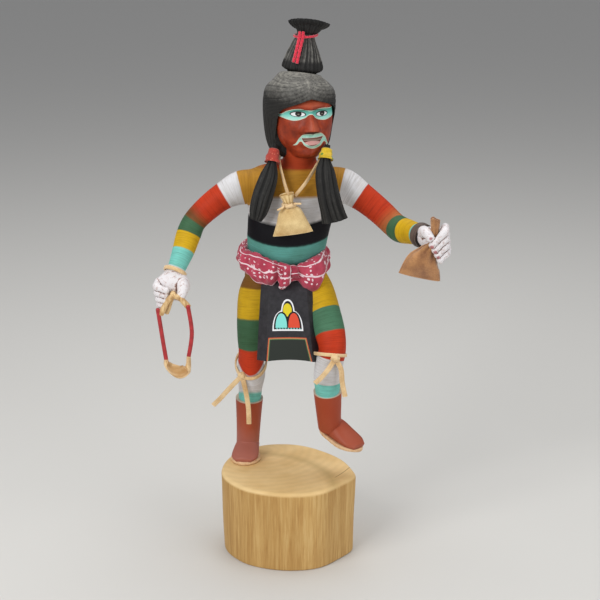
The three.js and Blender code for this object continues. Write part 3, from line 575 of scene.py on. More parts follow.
right_fist = fist(
    [[-27.5, -1.5, 51.6, 2.6, 2.1], [-27.8, -2.5, 49.4, 4.2, 2.5], [-28.7, -2.7, 46.4, 3.1, 2.0]], (1, 0, 0),
    [[-31.3, -2.6, 49.8], [-31.5, -5.2, 49.3], [-29.0, -6.5, 48.6]],
    [[0.15, 0, -1.55], [0.25, 0, -1.5], [-0.2, 0.1, -1.25]],
    [[-26.5, -2.2, 50.4, 1.6, 1.6], [-25.3, -4.6, 49.0, 1.5, 1.4], [-25.7, -6.3, 47.0, 1.0, 1.0]],
)
left_fist = fist(
    [[32.6, -9.2, 62.8, 2.4, 2.3], [34.0, -11.4, 62.8, 3.0, 2.3], [35.8, -12.4, 63.0, 2.9, 1.9]], (0, 0, 1),
    [[36.7, -12.9, 66.0], [36.3, -15.7, 65.5], [33.3, -16.7, 62.4]],
    [[0.2, 0.1, -1.75], [0.2, 0.2, -1.7], [0.66, 0.1, -1.2]],
    [[31.9, -11.8, 64.6, 1.5, 1.5], [32.2, -14.6, 65.2, 1.2, 1.2], [33.2, -16.5, 64.1, 0.95, 0.95]],
)
sole_thickness = 0.0024


def boot(shaft, heel, toe, width):
    """Shaft and foot as lofts, and the sole as rings of one outline: half width w(s) along the foot at
    share s is 0.8 in the heel and arch, swells to 1.05 at the ball and rounds to a point at the toe."""
    start, end = place(heel), place(toe)
    length = np.linalg.norm(end - start)
    forward = unit(end - start)
    side = unit(np.cross([0, 0, 1], forward))
    up = np.cross(forward, side)
    half = width / 2
    at = lambda s, lift: (start + forward * s * length + up * lift * share - [0, 0, stand]) / share
    foot = [[*at(0.12, 2.0), 0.68 * half, 2.0], [*at(0.34, 2.6), 0.78 * half, 2.6],
            [*at(0.58, 2.0), 0.88 * half, 2.0],
            [*at(0.8, 1.5), 0.86 * half, 1.4], [*at(0.93, 1.2), 0.6 * half, 0.9]]
    turn = np.linspace(0, 2 * np.pi, 96, endpoint=False)
    s = (1 - np.cos(turn)) / 2
    swell = np.interp(s, [0, 0.1, 0.35, 0.65, 0.85, 1], [0.78, 0.8, 0.82, 1.04, 1.06, 0.9])
    outline = np.stack([s * length, np.sin(turn) * half * share * swell], -1)
    rings = []
    for lift, inset in ((0, 0.0004), (0.0004, 0), (sole_thickness - 0.0004, 0), (sole_thickness, 0.0005)):
        flat = outline - unit(outline - [length / 2, 0]) * inset
        rings.append(start + flat[:, :1] * forward + flat[:, 1:] * side + up * lift)
    middle = start + forward * length / 2
    sole = (np.array(rings), middle, middle + up * sole_thickness)
    return [loft(shaft, rows=50, around=48, dome=0.02, caps=2),
            loft(foot, rows=50, around=44, across=side, dome=0.5)], sole


right_shaft = [
    [-10.6, 9.4, 2.4, 2.9, 3.0], [-10.4, 9.0, 6.5, 3.0, 3.3], [-10.2, 8.4, 11, 3.2, 3.3],
    [-10.0, 7.9, 16.0, 3.5, 3.5],
]
left_shaft = [
    [10.4, -1.0, 11.6, 2.9, 3.0], [10.2, -1.8, 14, 3.0, 3.2], [10.0, -2.8, 17.5, 3.2, 3.2],
    [9.75, -3.9, 22.2, 3.5, 3.4],
]
right_boot, right_sole = boot(right_shaft, (-10.0, 12.8, 0), (-11.6, 0.9, 0), 7.6)
left_boot, left_sole = boot(left_shaft, (8.2, 2.4, 9.4), (18.0, -6.4, 6.9), 7.4)

# %% [markdown]
# ### One mesh from all the forms
#
# The Boolean modifier joins closed meshes exactly. Each form's faces carry its number as their material
# index, and the modifier keeps it, so after the union every face still knows whether it is hair, face,
# sleeve or boot.

# %% Union of the forms
forms = {
    "torso": [loft(torso, rows=120, around=90)],
    "right_arm": [loft(right_arm, rows=100, around=48, across=(0, 1, 0))],
    "left_arm": [loft(left_arm, rows=100, around=48, across=(0, 0, 1))],
    "hands": right_fist + left_fist,
    "face": [head_surface()],
    "hair": [],
    "right_leg": [loft(right_leg, rows=96, around=48)],
    "left_leg": [loft(left_leg, rows=96, around=48)],
    "boots": right_boot + left_boot,
    "soles": [right_sole, left_sole],
}
number = {name: k for k, name in enumerate(forms)}


def form_object(name, form, kind):
    """A form as an object whose faces all carry the number of their kind as material index."""
    mesh = mesh_of(name, *closed_surface(*form))
    for _ in forms:
        mesh.materials.append(None)
    mesh.polygons.foreach_set("material_index", np.full(len(mesh.polygons), number[kind], np.int32))
    made = bpy.data.objects.new(name, mesh)
    scene.collection.objects.link(made)
    return made


def combined(target, others, operation="UNION"):
    """The target's mesh after one Boolean with each of the others, which are then removed."""
    for other in others:
        step = target.modifiers.new(other.name, "BOOLEAN")
        step.operation = operation
        step.solver = "MANIFOLD"
        step.object = other
    bpy.context.view_layer.update()
    graph = bpy.context.evaluated_depsgraph_get()
    mesh = bpy.data.meshes.new_from_object(target.evaluated_get(graph))
    for used in (target, *others):
        bpy.data.objects.remove(used)
    return mesh


hair_cap = form_object("hair_cap", loft(hair, rows=130, around=330, carve=hair_grooves, dome=0.06), "hair")
window = form_object("face_window", loft(face_window, rows=24, around=160, across=face_across,
                                         carve=hairline), "hair")
hair_mesh = combined(hair_cap, [window], "DIFFERENCE")
hair_piece = bpy.data.objects.new("hair_with_window", hair_mesh)
scene.collection.objects.link(hair_piece)

parts = [
    form_object(kind + str(k), form, kind) for kind, group in forms.items() for k, form in enumerate(group)
]
figure_mesh = combined(parts[0], [*parts[1:], hair_piece])
print("figure", len(figure_mesh.vertices), "points")

# %% [markdown]
# ### Smoothing the seams at the shoulders
#
# A Boolean leaves a crease. Points on edges between two forms get weight one, the weight spreads over the
# neighbours and fades, and a few rounds of moving each point towards the mean of its neighbours, by that
# weight, turn the crease into a carved hollow. Only arms and torso are smoothed: hair, cuffs and soles stay
# crisp.

# %% Smooth where an arm meets the torso
figure_xyz = points_of(figure_mesh)
edges = np.empty(len(figure_mesh.edges) * 2, np.int64)
figure_mesh.edges.foreach_get("vertices", edges)
edges = edges.reshape(-1, 2)
corner_points = np.empty(len(figure_mesh.loops), np.int64)
figure_mesh.loops.foreach_get("vertex_index", corner_points)
corner_counts = np.empty(len(figure_mesh.polygons), np.int64)
figure_mesh.polygons.foreach_get("loop_total", corner_counts)
face_kind = np.empty(len(figure_mesh.polygons), np.int64)
figure_mesh.polygons.foreach_get("material_index", face_kind)
corner_kind = np.repeat(face_kind, corner_counts)
touches = {kind: np.zeros(len(figure_xyz), bool) for kind in forms}
for kind, flag in touches.items():
    flag[corner_points[corner_kind == number[kind]]] = True
neighbours = np.bincount(edges.ravel(), minlength=len(figure_xyz)).clip(1)


def mean_of_neighbours(values):
    """For each point, the mean of a quantity over the points that an edge joins to it."""
    sums = np.stack([
        np.bincount(edges[:, 0], values[edges[:, 1], k], len(values)) +
        np.bincount(edges[:, 1], values[edges[:, 0], k], len(values)) for k in range(values.shape[1])
    ], -1)
    return sums / neighbours[:, None]


arms = touches["right_arm"] | touches["left_arm"]
seam = (touches["torso"] & arms).astype(float)[:, None]
weight = seam.copy()
spread_rounds, smooth_rounds, pull = 9, 26, 0.7
for _ in range(spread_rounds):
    weight = np.maximum(seam, mean_of_neighbours(weight))
for _ in range(smooth_rounds):
    figure_xyz += pull * weight * (mean_of_neighbours(figure_xyz) - figure_xyz)
figure_mesh.vertices.foreach_set("co", figure_xyz.ravel())
figure_mesh.update()
print("smoothed", int((weight > 0.05).sum()), "points")

# %% [markdown]
# ### Where the paint goes
#
# The bands run round each limb, so the paint needs to know how far along the limb a point lies. For every
# point the nearest place on the limb's own centre line gives that distance, counted in stations. The face
# gets two flat coordinates instead: across and up.

# %% Paint coordinates
def along_limb(points, stations):
    """Station count of the nearest place on the limb's centre line, refined by the step along its tangent."""
    t = np.linspace(0, len(stations) - 1, 160)
    line = place(spline(stations, t)[:, :3])
    squares = (points**2).sum(1)[:, None] - 2 * points @ line.T + (line**2).sum(1)
    nearest = squares.argmin(1)
    rate = np.gradient(line, t, axis=0)
    step = ((points - line[nearest]) * rate[nearest]).sum(1) / (rate[nearest] ** 2).sum(1)
    return t[nearest] + step


corner_xyz = figure_xyz[corner_points]
along = np.zeros(len(corner_xyz))
heights = (corner_xyz[:, 2] - stand) / share
for kind, stations in {"right_arm": right_arm, "left_arm": left_arm, "left_leg": left_leg}.items():
    mine = corner_kind == number[kind]
    along[mine] = along_limb(corner_xyz[mine], stations)


def facing_front(points, stations):
    """How far a point on a limb looks forward: 1 at the front, 0 at the sides, -1 behind."""
    middle = place(spline(stations, np.clip(along_limb(points, stations), 0, len(stations) - 1.001))[:, :3])
    away = unit((points - middle) * [1, 1, 0])
    return -away[:, 1]


def knee_patch(distance, front, edge, rise, taper):
    """Moves a band edge by rise at the sides of a limb and leaves it in front, so that the knee patch ends
    in a U. The shift fades to nothing a taper away from the edge, so the other bands stay level."""
    fade = np.clip(1 - np.abs(distance - edge - rise / 2) / taper, 0, 1)
    return distance - rise * np.clip(1 - np.clip(front, 0, 1) ** 2, 0, 1) * np.minimum(1, 1.6 * fade)


on_torso, on_right, on_left = (corner_kind == number[kind] for kind in ("torso", "right_leg", "left_leg"))
torso_bulge = ((corner_xyz[on_torso, 0] / share - 0.3) / 10) ** 2
below_chest = heights[on_torso] < 67
along[on_torso] = heights[on_torso] - 1.3 * np.clip(torso_bulge, 0, 1.2) * below_chest
# The maker drew the bands level to the eye: in front they rise a little on the shins and dip on the raised
# thigh
right_front = np.clip(facing_front(corner_xyz[on_right], right_leg), 0, 1)
left_front = np.clip(facing_front(corner_xyz[on_left], left_leg), 0, 1)
along[on_right] = knee_patch(heights[on_right] - 0.9 * right_front, right_front, 22.7, 4.0, 6.0)
along[on_left] += np.interp(along[on_left], [3.4, 4.4], [-0.15, 0.22]) * left_front
on_boots = corner_kind == number["boots"]
for shaft, on_side in ((right_shaft, corner_xyz[:, 0] < 0), (left_shaft, corner_xyz[:, 0] > 0)):
    mine = on_boots & on_side
    along[mine] = along_limb(corner_xyz[mine], shaft)
local = corner_xyz / share - head_middle
store(figure_mesh, "along", along, "CORNER")
store(figure_mesh, "face_side", local @ face_across, "CORNER")
store(figure_mesh, "face_up", heights, "CORNER")

# %% How deep each corner of the hair lies in its gouge mark
on_hair = corner_kind == number["hair"]
hair_t = np.clip(along_limb(corner_xyz[on_hair], hair), 0, len(hair) - 1.001)
hair_row = spline(hair, hair_t)
away = corner_xyz[on_hair] - place(hair_row[:, :3])
hair_angle = np.arctan2(away[:, 1] / hair_row[:, 4], away[:, 0] / hair_row[:, 3])
ridge = np.zeros(len(corner_xyz))
ridge[on_hair] = (hair_grooves(hair_angle, hair_t) - 0.955) / 0.045
crown = np.zeros(len(corner_xyz))
crown[on_hair] = np.clip((hair_t - 3.5) / 1.0, 0, 1)
store(figure_mesh, "ridge", ridge, "CORNER")
store(figure_mesh, "crown", crown, "CORNER")
print("paint coordinates on", len(along), "corners, hair on", int(on_hair.sum()))

# %% [markdown]
# ### Banded paint
#
# Acrylic on sealed wood, put on with a small flat brush: matt, a little uneven, with fine strokes that run
# round the limb. A ramp with hard steps turns the distance along the limb into bands, a slow noise makes
# their edges waver by a quarter of a millimetre, and stroke lines darken the colour and press into the
# surface.

# %% Band paint
ochre, ochre_brown, white, navy = rgb("#b9862c"), rgb("#7d5420"), rgb("#dcdce0"), rgb("#08070f")
turquoise_deep, turquoise, red, green = rgb("#5a9c93"), rgb("#7ccfc6"), rgb("#c23a1a"), rgb("#41684a")
leg_green, yellow, face_red = rgb("#4d7c60"), rgb("#d3aa1c"), rgb("#a43c1c")
elbow_shade_brown, elbow_tan = rgb("#7a4a26"), rgb("#b0683a")


def band_paint(name, length, bands):
    """Paint whose colour steps along a limb: bands are (start in stations, colour) or (start, colour,
    blur)."""
    stops, last = [(0, bands[0][1])], bands[0][1]
    for start, new, *blur in bands[1:]:
        half = blur[0] / 2 if blur else 0.0012 * length
        stops += [((start - half) / length, last), ((start + half) / length, new)]
        last = new
    material, tree, shader, where = finish(name, Roughness=0.62, Specular_IOR_Level=0.16)
    along = add(tree, "Attribute", {"attribute_name": "along"}, output="Fac")
    waver = add(tree, "TexNoise", inputs={"Vector": where, "Scale": 260, "Detail": 2})
    edge = add(tree, "MapRange", inputs={"Value": waver, "To Min": -0.0015 * length,
                                         "To Max": 0.0015 * length})
    moved = add(tree, "Math", {"operation": "ADD"}, {0: along, 1: edge})
    position = add(tree, "Math", {"operation": "DIVIDE"}, {0: moved, 1: length})
    colour = add(tree, "ValToRGB", {"stops": stops}, {"Fac": position}, "Color")
    scaled = add(tree, "Mapping", inputs={"Vector": where, "Scale": (60, 60, 60)})
    # Strokes to a station on the arms and the raised leg, and to a hundredth of the height elsewhere
    stroke_count = 26 if length < 20 else 8
    lifted = add(tree, "Math", {"operation": "MULTIPLY"}, {0: along, 1: stroke_count})
    level = add(tree, "CombineXYZ", inputs={"Z": lifted})
    brushed = add(tree, "VectorMath", {"operation": "ADD"}, {0: scaled, 1: level})
    strokes = add(tree, "TexNoise", inputs={"Vector": brushed, "Scale": 1.0, "Detail": 5, "Roughness": 0.7})
    shade = add(tree, "ValToRGB", {"stops": [(0.3, rgb("#b9b2a8")), (0.5, rgb("#f2f0ec")),
                                             (0.7, rgb("#ffffff"))]},
                {"Fac": strokes}, "Color")
    painted = add(tree, "MixRGB", {"blend_type": "MULTIPLY"},
                  {"Fac": 0.75, "Color1": colour, "Color2": shade})
    blotches = add(tree, "TexNoise", inputs={"Vector": where, "Scale": 75, "Detail": 3})
    soft = add(tree, "ValToRGB", {"stops": [(0.3, rgb("#d9d2c8")), (0.65, rgb("#ffffff"))]},
               {"Fac": blotches}, "Color")
    aged = add(tree, "MixRGB", {"blend_type": "MULTIPLY"}, {"Fac": 0.6, "Color1": painted, "Color2": soft})
    tree.links.new(aged, shader.inputs["Base Color"])
    bump = add(tree, "Bump", inputs={"Height": strokes, "Strength": 0.3, "Distance": 0.0004})
    tree.links.new(bump, shader.inputs["Normal"])
    return material


torso_paint = band_paint("acrylic bands on the torso", 100, [
    (0, ochre_brown), (51.5, turquoise_deep), (58.1, navy), (63.3, white), (69.9, ochre), (76.2, face_red)])
# On the right arm the blurred dark brown band between red and green is painted shade in the bend of the
# elbow.
right_arm_paint = band_paint("acrylic bands on the right arm", 8, [
    (0, ochre), (1.05, white), (2.0, red), (3.5, elbow_shade_brown, 0.5), (4.0, green, 0.12), (5.0, yellow),
    (6.0, turquoise), (7.0, white)])
left_arm_paint = band_paint("acrylic bands on the left arm", 8, [
    (0, ochre), (0.95, white), (1.95, red), (3.55, elbow_tan, 0.7), (4.5, green, 0.2), (5.57, yellow),
    (6.65, turquoise), (7.1, white)])
right_leg_paint = band_paint("acrylic bands on the right leg", 100, [
    (0, turquoise), (17.6, white), (22.7, red), (29.4, green), (37.6, yellow), (45.6, ochre_brown)])
left_leg_paint = band_paint("acrylic bands on the left leg", 8, [
    (0, ochre_brown), (0.2, yellow), (1.95, leg_green), (3.0, red), (4.55, white), (6.3, turquoise)])

# %% [markdown]
# ### Face paint
#
# The turquoise mask across the eyes and the pattern round the mouth are flat paint. Each is the space
# between two curves over the coordinate across the face, so a Float Curve node holds each edge. Eyes are
# ellipses inside one another.

# %% Face paint
face_paint, tree, shader, where = finish("acrylic face paint", Roughness=0.5, Specular_IOR_Level=0.3)
side = add(tree, "Attribute", {"attribute_name": "face_side"}, output="Fac")
up = add(tree, "Attribute", {"attribute_name": "face_up"}, output="Fac")
face_reach = 8.0
face_low, face_high = 80.0, 96.0
across_share = add(tree, "MapRange", inputs={"Value": side, "From Min": -face_reach, "From Max": face_reach})


def edge_line(tree, points):
    """Height on the face of a painted edge, as a curve over the place across it."""
    curve = [
        ((s + face_reach) / (2 * face_reach), (z - face_low) / (face_high - face_low)) for s, z in points
    ]
    value = add(tree, "FloatCurve", {"curve": curve}, {"Value": across_share})
    return add(tree, "MapRange", inputs={"Value": value, "To Min": face_low, "To Max": face_high})


def between(tree, low, high, margin=0.0):
    """One where the point lies between two edges moved apart by margin, else zero."""
    above = add(tree, "Math", {"operation": "SUBTRACT"}, {0: up, 1: low})
    below = add(tree, "Math", {"operation": "SUBTRACT"}, {0: high, 1: up})
    least = add(tree, "Math", {"operation": "MINIMUM"}, {0: above, 1: below})
    return add(tree, "Math", {"operation": "GREATER_THAN"}, {0: least, 1: -margin})


def oval(tree, at, size, softness=0.0):
    """One inside an ellipse on the face, else zero; a softness lets it fade out from the middle."""
    dx = add(tree, "Math", {"operation": "SUBTRACT"}, {0: side, 1: at[0]})
    dz = add(tree, "Math", {"operation": "SUBTRACT"}, {0: up, 1: at[1]})
    place_in = add(tree, "CombineXYZ", inputs={"X": dx, "Y": dz})
    scaled = add(tree, "VectorMath", {"operation": "DIVIDE"}, {0: place_in, 1: (*size, 1)})
    length = add(tree, "VectorMath", {"operation": "LENGTH"}, {0: scaled}, "Value")
    return add(tree, "MapRange", inputs={"Value": length, "From Min": 1.0, "From Max": 0.99 - softness})


def paint_over(tree, base, mask, colour):
    """The base colour with another laid over it where the mask is one."""
    return add(tree, "MixRGB", inputs={"Fac": mask, "Color1": base, "Color2": colour})


strokes = add(tree, "TexNoise", inputs={"Vector": where, "Scale": 190, "Detail": 4, "Roughness": 0.6})
even_skin = add(tree, "ValToRGB", {"stops": [(0.3, rgb("#72240e")), (0.55, rgb("#913214")),
                                             (0.75, rgb("#a8421e"))]},
                {"Fac": strokes}, "Color")
# Painted highlight: a lighter red on the ridge of the nose and on the forehead above the brows.
nose_and_forehead_highlight = add(tree, "Math", {"operation": "MAXIMUM"}, {
    0: oval(tree, (0.3, 87.6), (1.5, 2.2), 0.7), 1: oval(tree, (0.4, 92.9), (4.2, 1.2), 0.6)})
skin = add(tree, "MixRGB", inputs={"Fac": nose_and_forehead_highlight, "Color1": even_skin, "Color2": rgb("#a84c30")})
mask_low = edge_line(tree, [
    (-8, 89.8), (-6.2, 89.7), (-4.9, 89.3), (-3.4, 89.15), (-1.5, 89.7), (0, 90.7), (1.5, 89.6), (3.4, 89.1),
    (4.9, 89.2), (8, 89.8)])
mask_high = edge_line(tree, [
    (-8, 89.9), (-6.2, 90.1), (-4.9, 91.0), (-2.9, 91.6), (0, 91.3), (2.9, 91.6), (4.9, 91.4), (8, 91.0)])
# The moustache and the ring of paint round the mouth are one shape
brush_low = edge_line(tree, [
    (-8, 85), (-3.0, 83.1), (-2.0, 84.1), (-1.3, 83.2), (0.7, 82.3), (2.9, 82.9), (3.9, 83.8), (5.3, 82.5),
    (8, 84)])
brush_high = edge_line(tree, [
    (-8, 80), (-3.1, 83.2), (-2.4, 84.6), (-1.6, 85.6), (0.5, 86.0), (2.6, 85.8), (3.9, 84.9), (5.4, 82.6),
    (8, 81)])
mouth_low = edge_line(tree, [
    (-8, 86), (-2.2, 85.0), (-1.2, 83.7), (0.7, 82.95), (2.7, 83.7), (3.7, 85.1), (8, 86)])
mouth_high = edge_line(tree, [
    (-8, 84.7), (-2.0, 84.8), (0.7, 84.85), (3.6, 84.95), (8, 84.7)])
# Painted shadow: a dark band under the nose.
nose_shadow = paint_over(tree, skin, oval(tree, (0.05, 86.35), (2.0, 0.45), 0.35), rgb("#2c0c08"))
outlined = paint_over(tree, nose_shadow, between(tree, mask_low, mask_high, 0.16), rgb("#c3d2be"))
# The mask goes from pale at its lower edge to dark teal at its top: painted shade under the brow.
mask_height = add(tree, "MapRange", inputs={"Value": up, "From Min": 89.2, "From Max": 91.6})
mask_with_brow_shade = add(tree, "ValToRGB", {"stops": [(0.1, rgb("#9fd6c8")), (0.45, rgb("#6cc2b4")),
                                             (0.9, rgb("#448c7c"))]},
                {"Fac": mask_height}, "Color")
masked = paint_over(tree, outlined, between(tree, mask_low, mask_high), mask_with_brow_shade)
brow = paint_over(tree, masked, oval(tree, (0.1, 91.55), (3.4, 0.16), 0.5), rgb("#5a2014"))
brush_edge = paint_over(tree, brow, between(tree, brush_low, brush_high, 0.16), rgb("#c9d0b8"))
brush_tone = add(tree, "ValToRGB", {"stops": [(0.3, rgb("#78b09e")), (0.62, rgb("#a6d0c0"))]},
                 {"Fac": strokes}, "Color")
brush = paint_over(tree, brush_edge, between(tree, brush_low, brush_high), brush_tone)
# Painted shadow: a small dark spot under the tip of the nose, laid over the top of the moustache.
brush = paint_over(tree, brush, oval(tree, (0.35, 85.85), (0.3, 0.3), 0.4), rgb("#2c1410"))
mouth_edge = paint_over(tree, brush, between(tree, mouth_low, mouth_high, 0.15), rgb("#ccd0c4"))
mouth = paint_over(tree, mouth_edge, between(tree, mouth_low, mouth_high), rgb("#6a3028"))
teeth = paint_over(tree, mouth, oval(tree, (0.8, 84.3), (2.4, 0.3)), rgb("#8f776c"))
lip = paint_over(tree, teeth, oval(tree, (0.8, 83.6), (2.0, 0.42)), rgb("#d09a94"))
# An eye from the outside in: dark rim, white, iris, glint
painted_face = lip
for x, z in ((-2.7, 90.5), (3.15, 90.4)):
    for at, size, softness, colour in (
        ((x, z), (1.75, 0.68), 0, "#1a2422"), ((x, z - 0.06), (1.5, 0.5), 0, "#dfe2e2"),
        ((x + 0.1, z + 0.05), (0.72, 0.6), 0, "#15110f"), ((x + 0.1, z - 0.05), (0.3, 0.14), 0.4, "#8a7c72"),
    ):
        painted_face = paint_over(tree, painted_face, oval(tree, at, size, softness), rgb(colour))
tree.links.new(painted_face, shader.inputs["Base Color"])
bump = add(tree, "Bump", inputs={"Height": strokes, "Strength": 0.2, "Distance": 0.0004})
tree.links.new(bump, shader.inputs["Normal"])

# %% [markdown]
# ### Hair, hands and boots
#
# The hair is black paint with a dry brush of grey over it, which catches only the ridges between the gouge
# marks: the depth of the marks, kept in the mesh above, tells the paint where the brush would touch. The
# white hands have brown specks, and painted shade darkens their creases, which Pointiness finds. The boots
# fade from red brown to a rubbed pink at the toes.

# %% Hair paint
# Black paint; a grey dry brush on the ridges, stronger towards the top of the head. On the topknot's rim the
# grey is wear and painted highlight together.
hair_paint, tree, shader, where = finish("black paint dry-brushed grey", Roughness=0.6,
                                         Specular_IOR_Level=0.25)
ridge = add(tree, "Attribute", {"attribute_name": "ridge"}, output="Fac")
crown = add(tree, "Attribute", {"attribute_name": "crown"}, output="Fac")
scuffs = add(tree, "TexNoise", inputs={"Vector": where, "Scale": 380, "Detail": 4, "Roughness": 0.7})
brush_and_highlight_strength = add(tree, "MapRange", inputs={"Value": crown, "To Min": 0.3, "To Max": 1.0})
raised = add(tree, "MapRange", inputs={"Value": ridge, "From Min": 0.0, "From Max": 1.2, "To Min": 0.25,
                                       "To Max": 1.1})
# How much grey: the dry brush on the ridges, with the painted highlight on the topknot's rim.
worn = add(tree, "Math", {"operation": "MULTIPLY"}, {0: raised, 1: brush_and_highlight_strength})
broken = add(tree, "Math", {"operation": "MULTIPLY"}, {0: worn, 1: add(tree, "MapRange", inputs={
    "Value": scuffs, "From Min": 0.25, "From Max": 0.7, "To Min": 0.55, "To Max": 1.1})})
colour = add(tree, "ValToRGB", {"stops": [(0.02, rgb("#0c0b0b")), (0.32, rgb("#292826")),
                                          (0.7, rgb("#66645f")), (1.0, rgb("#8e8b82"))]},
             {"Fac": broken}, "Color")
tree.links.new(colour, shader.inputs["Base Color"])
bump = add(tree, "Bump", inputs={"Height": scuffs, "Strength": 0.2, "Distance": 0.0004})
tree.links.new(bump, shader.inputs["Normal"])

# %% Hand paint
nail_spots = [((33.1, -17.6, 64.4), 0.75), ((33.3, -17.4, 62.3), 0.7), ((34.2, -17.2, 61.1), 0.65),
              ((34.9, -17.2, 59.8), 0.6)]
hand_paint, tree, shader, where = finish("white paint, brown specks and crease shade", Roughness=0.6,
                                         Specular_IOR_Level=0.35)
# Pointiness darkens the creases between the fingers: painted shade. The fine noise adds brown specks.
crease = add(tree, "NewGeometry", output="Pointiness")
specks = add(tree, "TexNoise", inputs={"Vector": where, "Scale": 520, "Detail": 5, "Roughness": 0.75})
depth = add(tree, "MapRange", inputs={"Value": crease, "From Min": 0.505, "From Max": 0.47})
specks_and_crease_shade = add(tree, "Math", {"operation": "ADD"}, {0: depth, 1: specks})
colour = add(tree, "ValToRGB", {"stops": [(0.52, rgb("#dfdbdc")), (0.66, rgb("#b79c94")),
                                          (0.95, rgb("#5f3a30"))]},
             {"Fac": specks_and_crease_shade}, "Color")
# Nails and fingertips of the left hand are tinted pink: one soft spot of paint each
for tip, reach in nail_spots:
    away = add(tree, "VectorMath", {"operation": "DISTANCE"}, {0: where, 1: tuple(place(tip))}, "Value")
    spot = add(tree, "MapRange", inputs={"Value": away, "From Min": reach * share,
                                         "From Max": 0.5 * reach * share})
    colour = add(tree, "MixRGB", inputs={"Fac": spot, "Color1": colour, "Color2": rgb("#a8686a")})
tree.links.new(colour, shader.inputs["Base Color"])
bump = add(tree, "Bump", inputs={"Height": specks, "Strength": 0.3, "Distance": 0.0005})
tree.links.new(bump, shader.inputs["Normal"])

# %% Boot and sole paint
boot_paint, tree, shader, where = finish("red brown boot paint", Roughness=0.55, Specular_IOR_Level=0.4)
up = add(tree, "Attribute", {"attribute_name": "face_up"}, output="Fac")
clouds = add(tree, "TexNoise", inputs={"Vector": where, "Scale": 90, "Detail": 4})
fade = add(tree, "MapRange", inputs={"Value": up, "From Min": 17, "From Max": 2})
mixed = add(tree, "Math", {"operation": "MULTIPLY_ADD"}, {0: clouds, 1: 0.35, 2: fade})
colour = add(tree, "ValToRGB", {"stops": [(0.15, rgb("#9a3a18")), (0.7, rgb("#9c472c")),
                                          (1.0, rgb("#a05c4c"))]},
             {"Fac": mixed}, "Color")
shaft = add(tree, "Attribute", {"attribute_name": "along"}, output="Fac")
rim = add(tree, "MapRange", inputs={"Value": shaft, "From Min": 2.9, "From Max": 2.96})
colour = add(tree, "MixRGB", inputs={"Fac": rim, "Color1": colour, "Color2": rgb("#b8a894")})
tree.links.new(colour, shader.inputs["Base Color"])
bump = add(tree, "Bump", inputs={"Height": clouds, "Strength": 0.2, "Distance": 0.0005})
tree.links.new(bump, shader.inputs["Normal"])

sole_paint, tree, shader, where = finish("bare wood sole edge", Roughness=0.65)
grain = add(tree, "TexNoise", inputs={"Vector": where, "Scale": 400, "Detail": 3})
colour = add(tree, "ValToRGB", {"stops": [(0.3, rgb("#c99f74")), (0.7, rgb("#e2bf96"))]}, {"Fac": grain},
             "Color")
tree.links.new(colour, shader.inputs["Base Color"])

# %% Dress the figure
paints = {
    "torso": torso_paint, "right_arm": right_arm_paint, "left_arm": left_arm_paint, "hands": hand_paint,
    "face": face_paint, "hair": hair_paint, "right_leg": right_leg_paint, "left_leg": left_leg_paint,
    "boots": boot_paint, "soles": sole_paint,
}
figure_mesh.materials.clear()
piece_of("carved_figure", figure_mesh, list(paints.values()), ["figure"])
figure_mesh.polygons.foreach_set("material_index", face_kind.astype(np.int32))
figure_mesh.polygons.foreach_set("use_smooth", np.ones(len(figure_mesh.polygons), bool))

# %% [markdown]
# ## Hair that hangs free, its wraps and the topknot
#
# The tuft on the crown and the two hanks are carved apart from the head and set on it. They are lofts
# again, with deep flutes for the locks and finer ones for the strands; a twist along the length keeps them
# from looking turned on a lathe.

# %% Topknot
topknot_stations = [
    [3.4, 7.2, 99.35, 3.6, 3.6], [3.5, 7.2, 100.3, 5.0, 5.0], [3.7, 7.2, 103.2, 4.2, 4.2],
    [4.0, 7.2, 106.0, 3.0, 3.0], [4.35, 7.2, 108.1, 2.2, 2.2], [4.6, 7.3, 109.3, 3.2, 3.1],
    [4.75, 7.8, 110.9, 4.9, 4.6],
]


def tuft_flutes(angle, t):
    """Locks |sin 6a| and |sin 13a| with finer strands |sin 31a|, bent a little by a slow wave up the tuft.
    Near the rim one lock on the left sticks out to a point, and the rest is worn shorter."""
    bent = angle + 0.05 * np.sin(1.7 * t)
    out = np.angle(np.exp(1j * angle))
    lock = (0.16 * np.exp(-((out / 0.3) ** 2)) - 0.04) * np.clip(t - 4.6, 0, 1.4) / 1.4
    locks = 0.03 * np.abs(np.sin(6 * bent)) + 0.05 * np.abs(np.sin(13 * bent + 0.3 * np.sin(t)))
    return 1 - locks - 0.02 * np.abs(np.sin(31 * bent + 0.4 * t)) + lock


tuft = loft(topknot_stations, rows=120, around=300, carve=tuft_flutes, dome=(0.3, -0.45))
tuft_mesh = mesh_of("topknot_tuft", *closed_surface(*tuft))


def brush_and_rim_highlight(angle, t):
    """How strong the grey is: from one above the tuft's dark foot to none at the tie, and full on the rim,
    where the grey is wear and painted highlight together."""
    cone = np.clip((t - 1.5) * 5, 0, 1) * np.clip((4.3 - t) * 3, 0, 0.8)
    return cone + 1.0 * ((t > 5.75) & (t < 6)) + 0 * angle


store(tuft_mesh, "ridge", (carved_values(tuft_flutes, topknot_stations, 120, 300) - 0.9) / 0.07)
store(tuft_mesh, "crown", carved_values(brush_and_rim_highlight, topknot_stations, 120, 300))
piece_of("topknot_tuft", tuft_mesh, [hair_paint], ["topknot"])

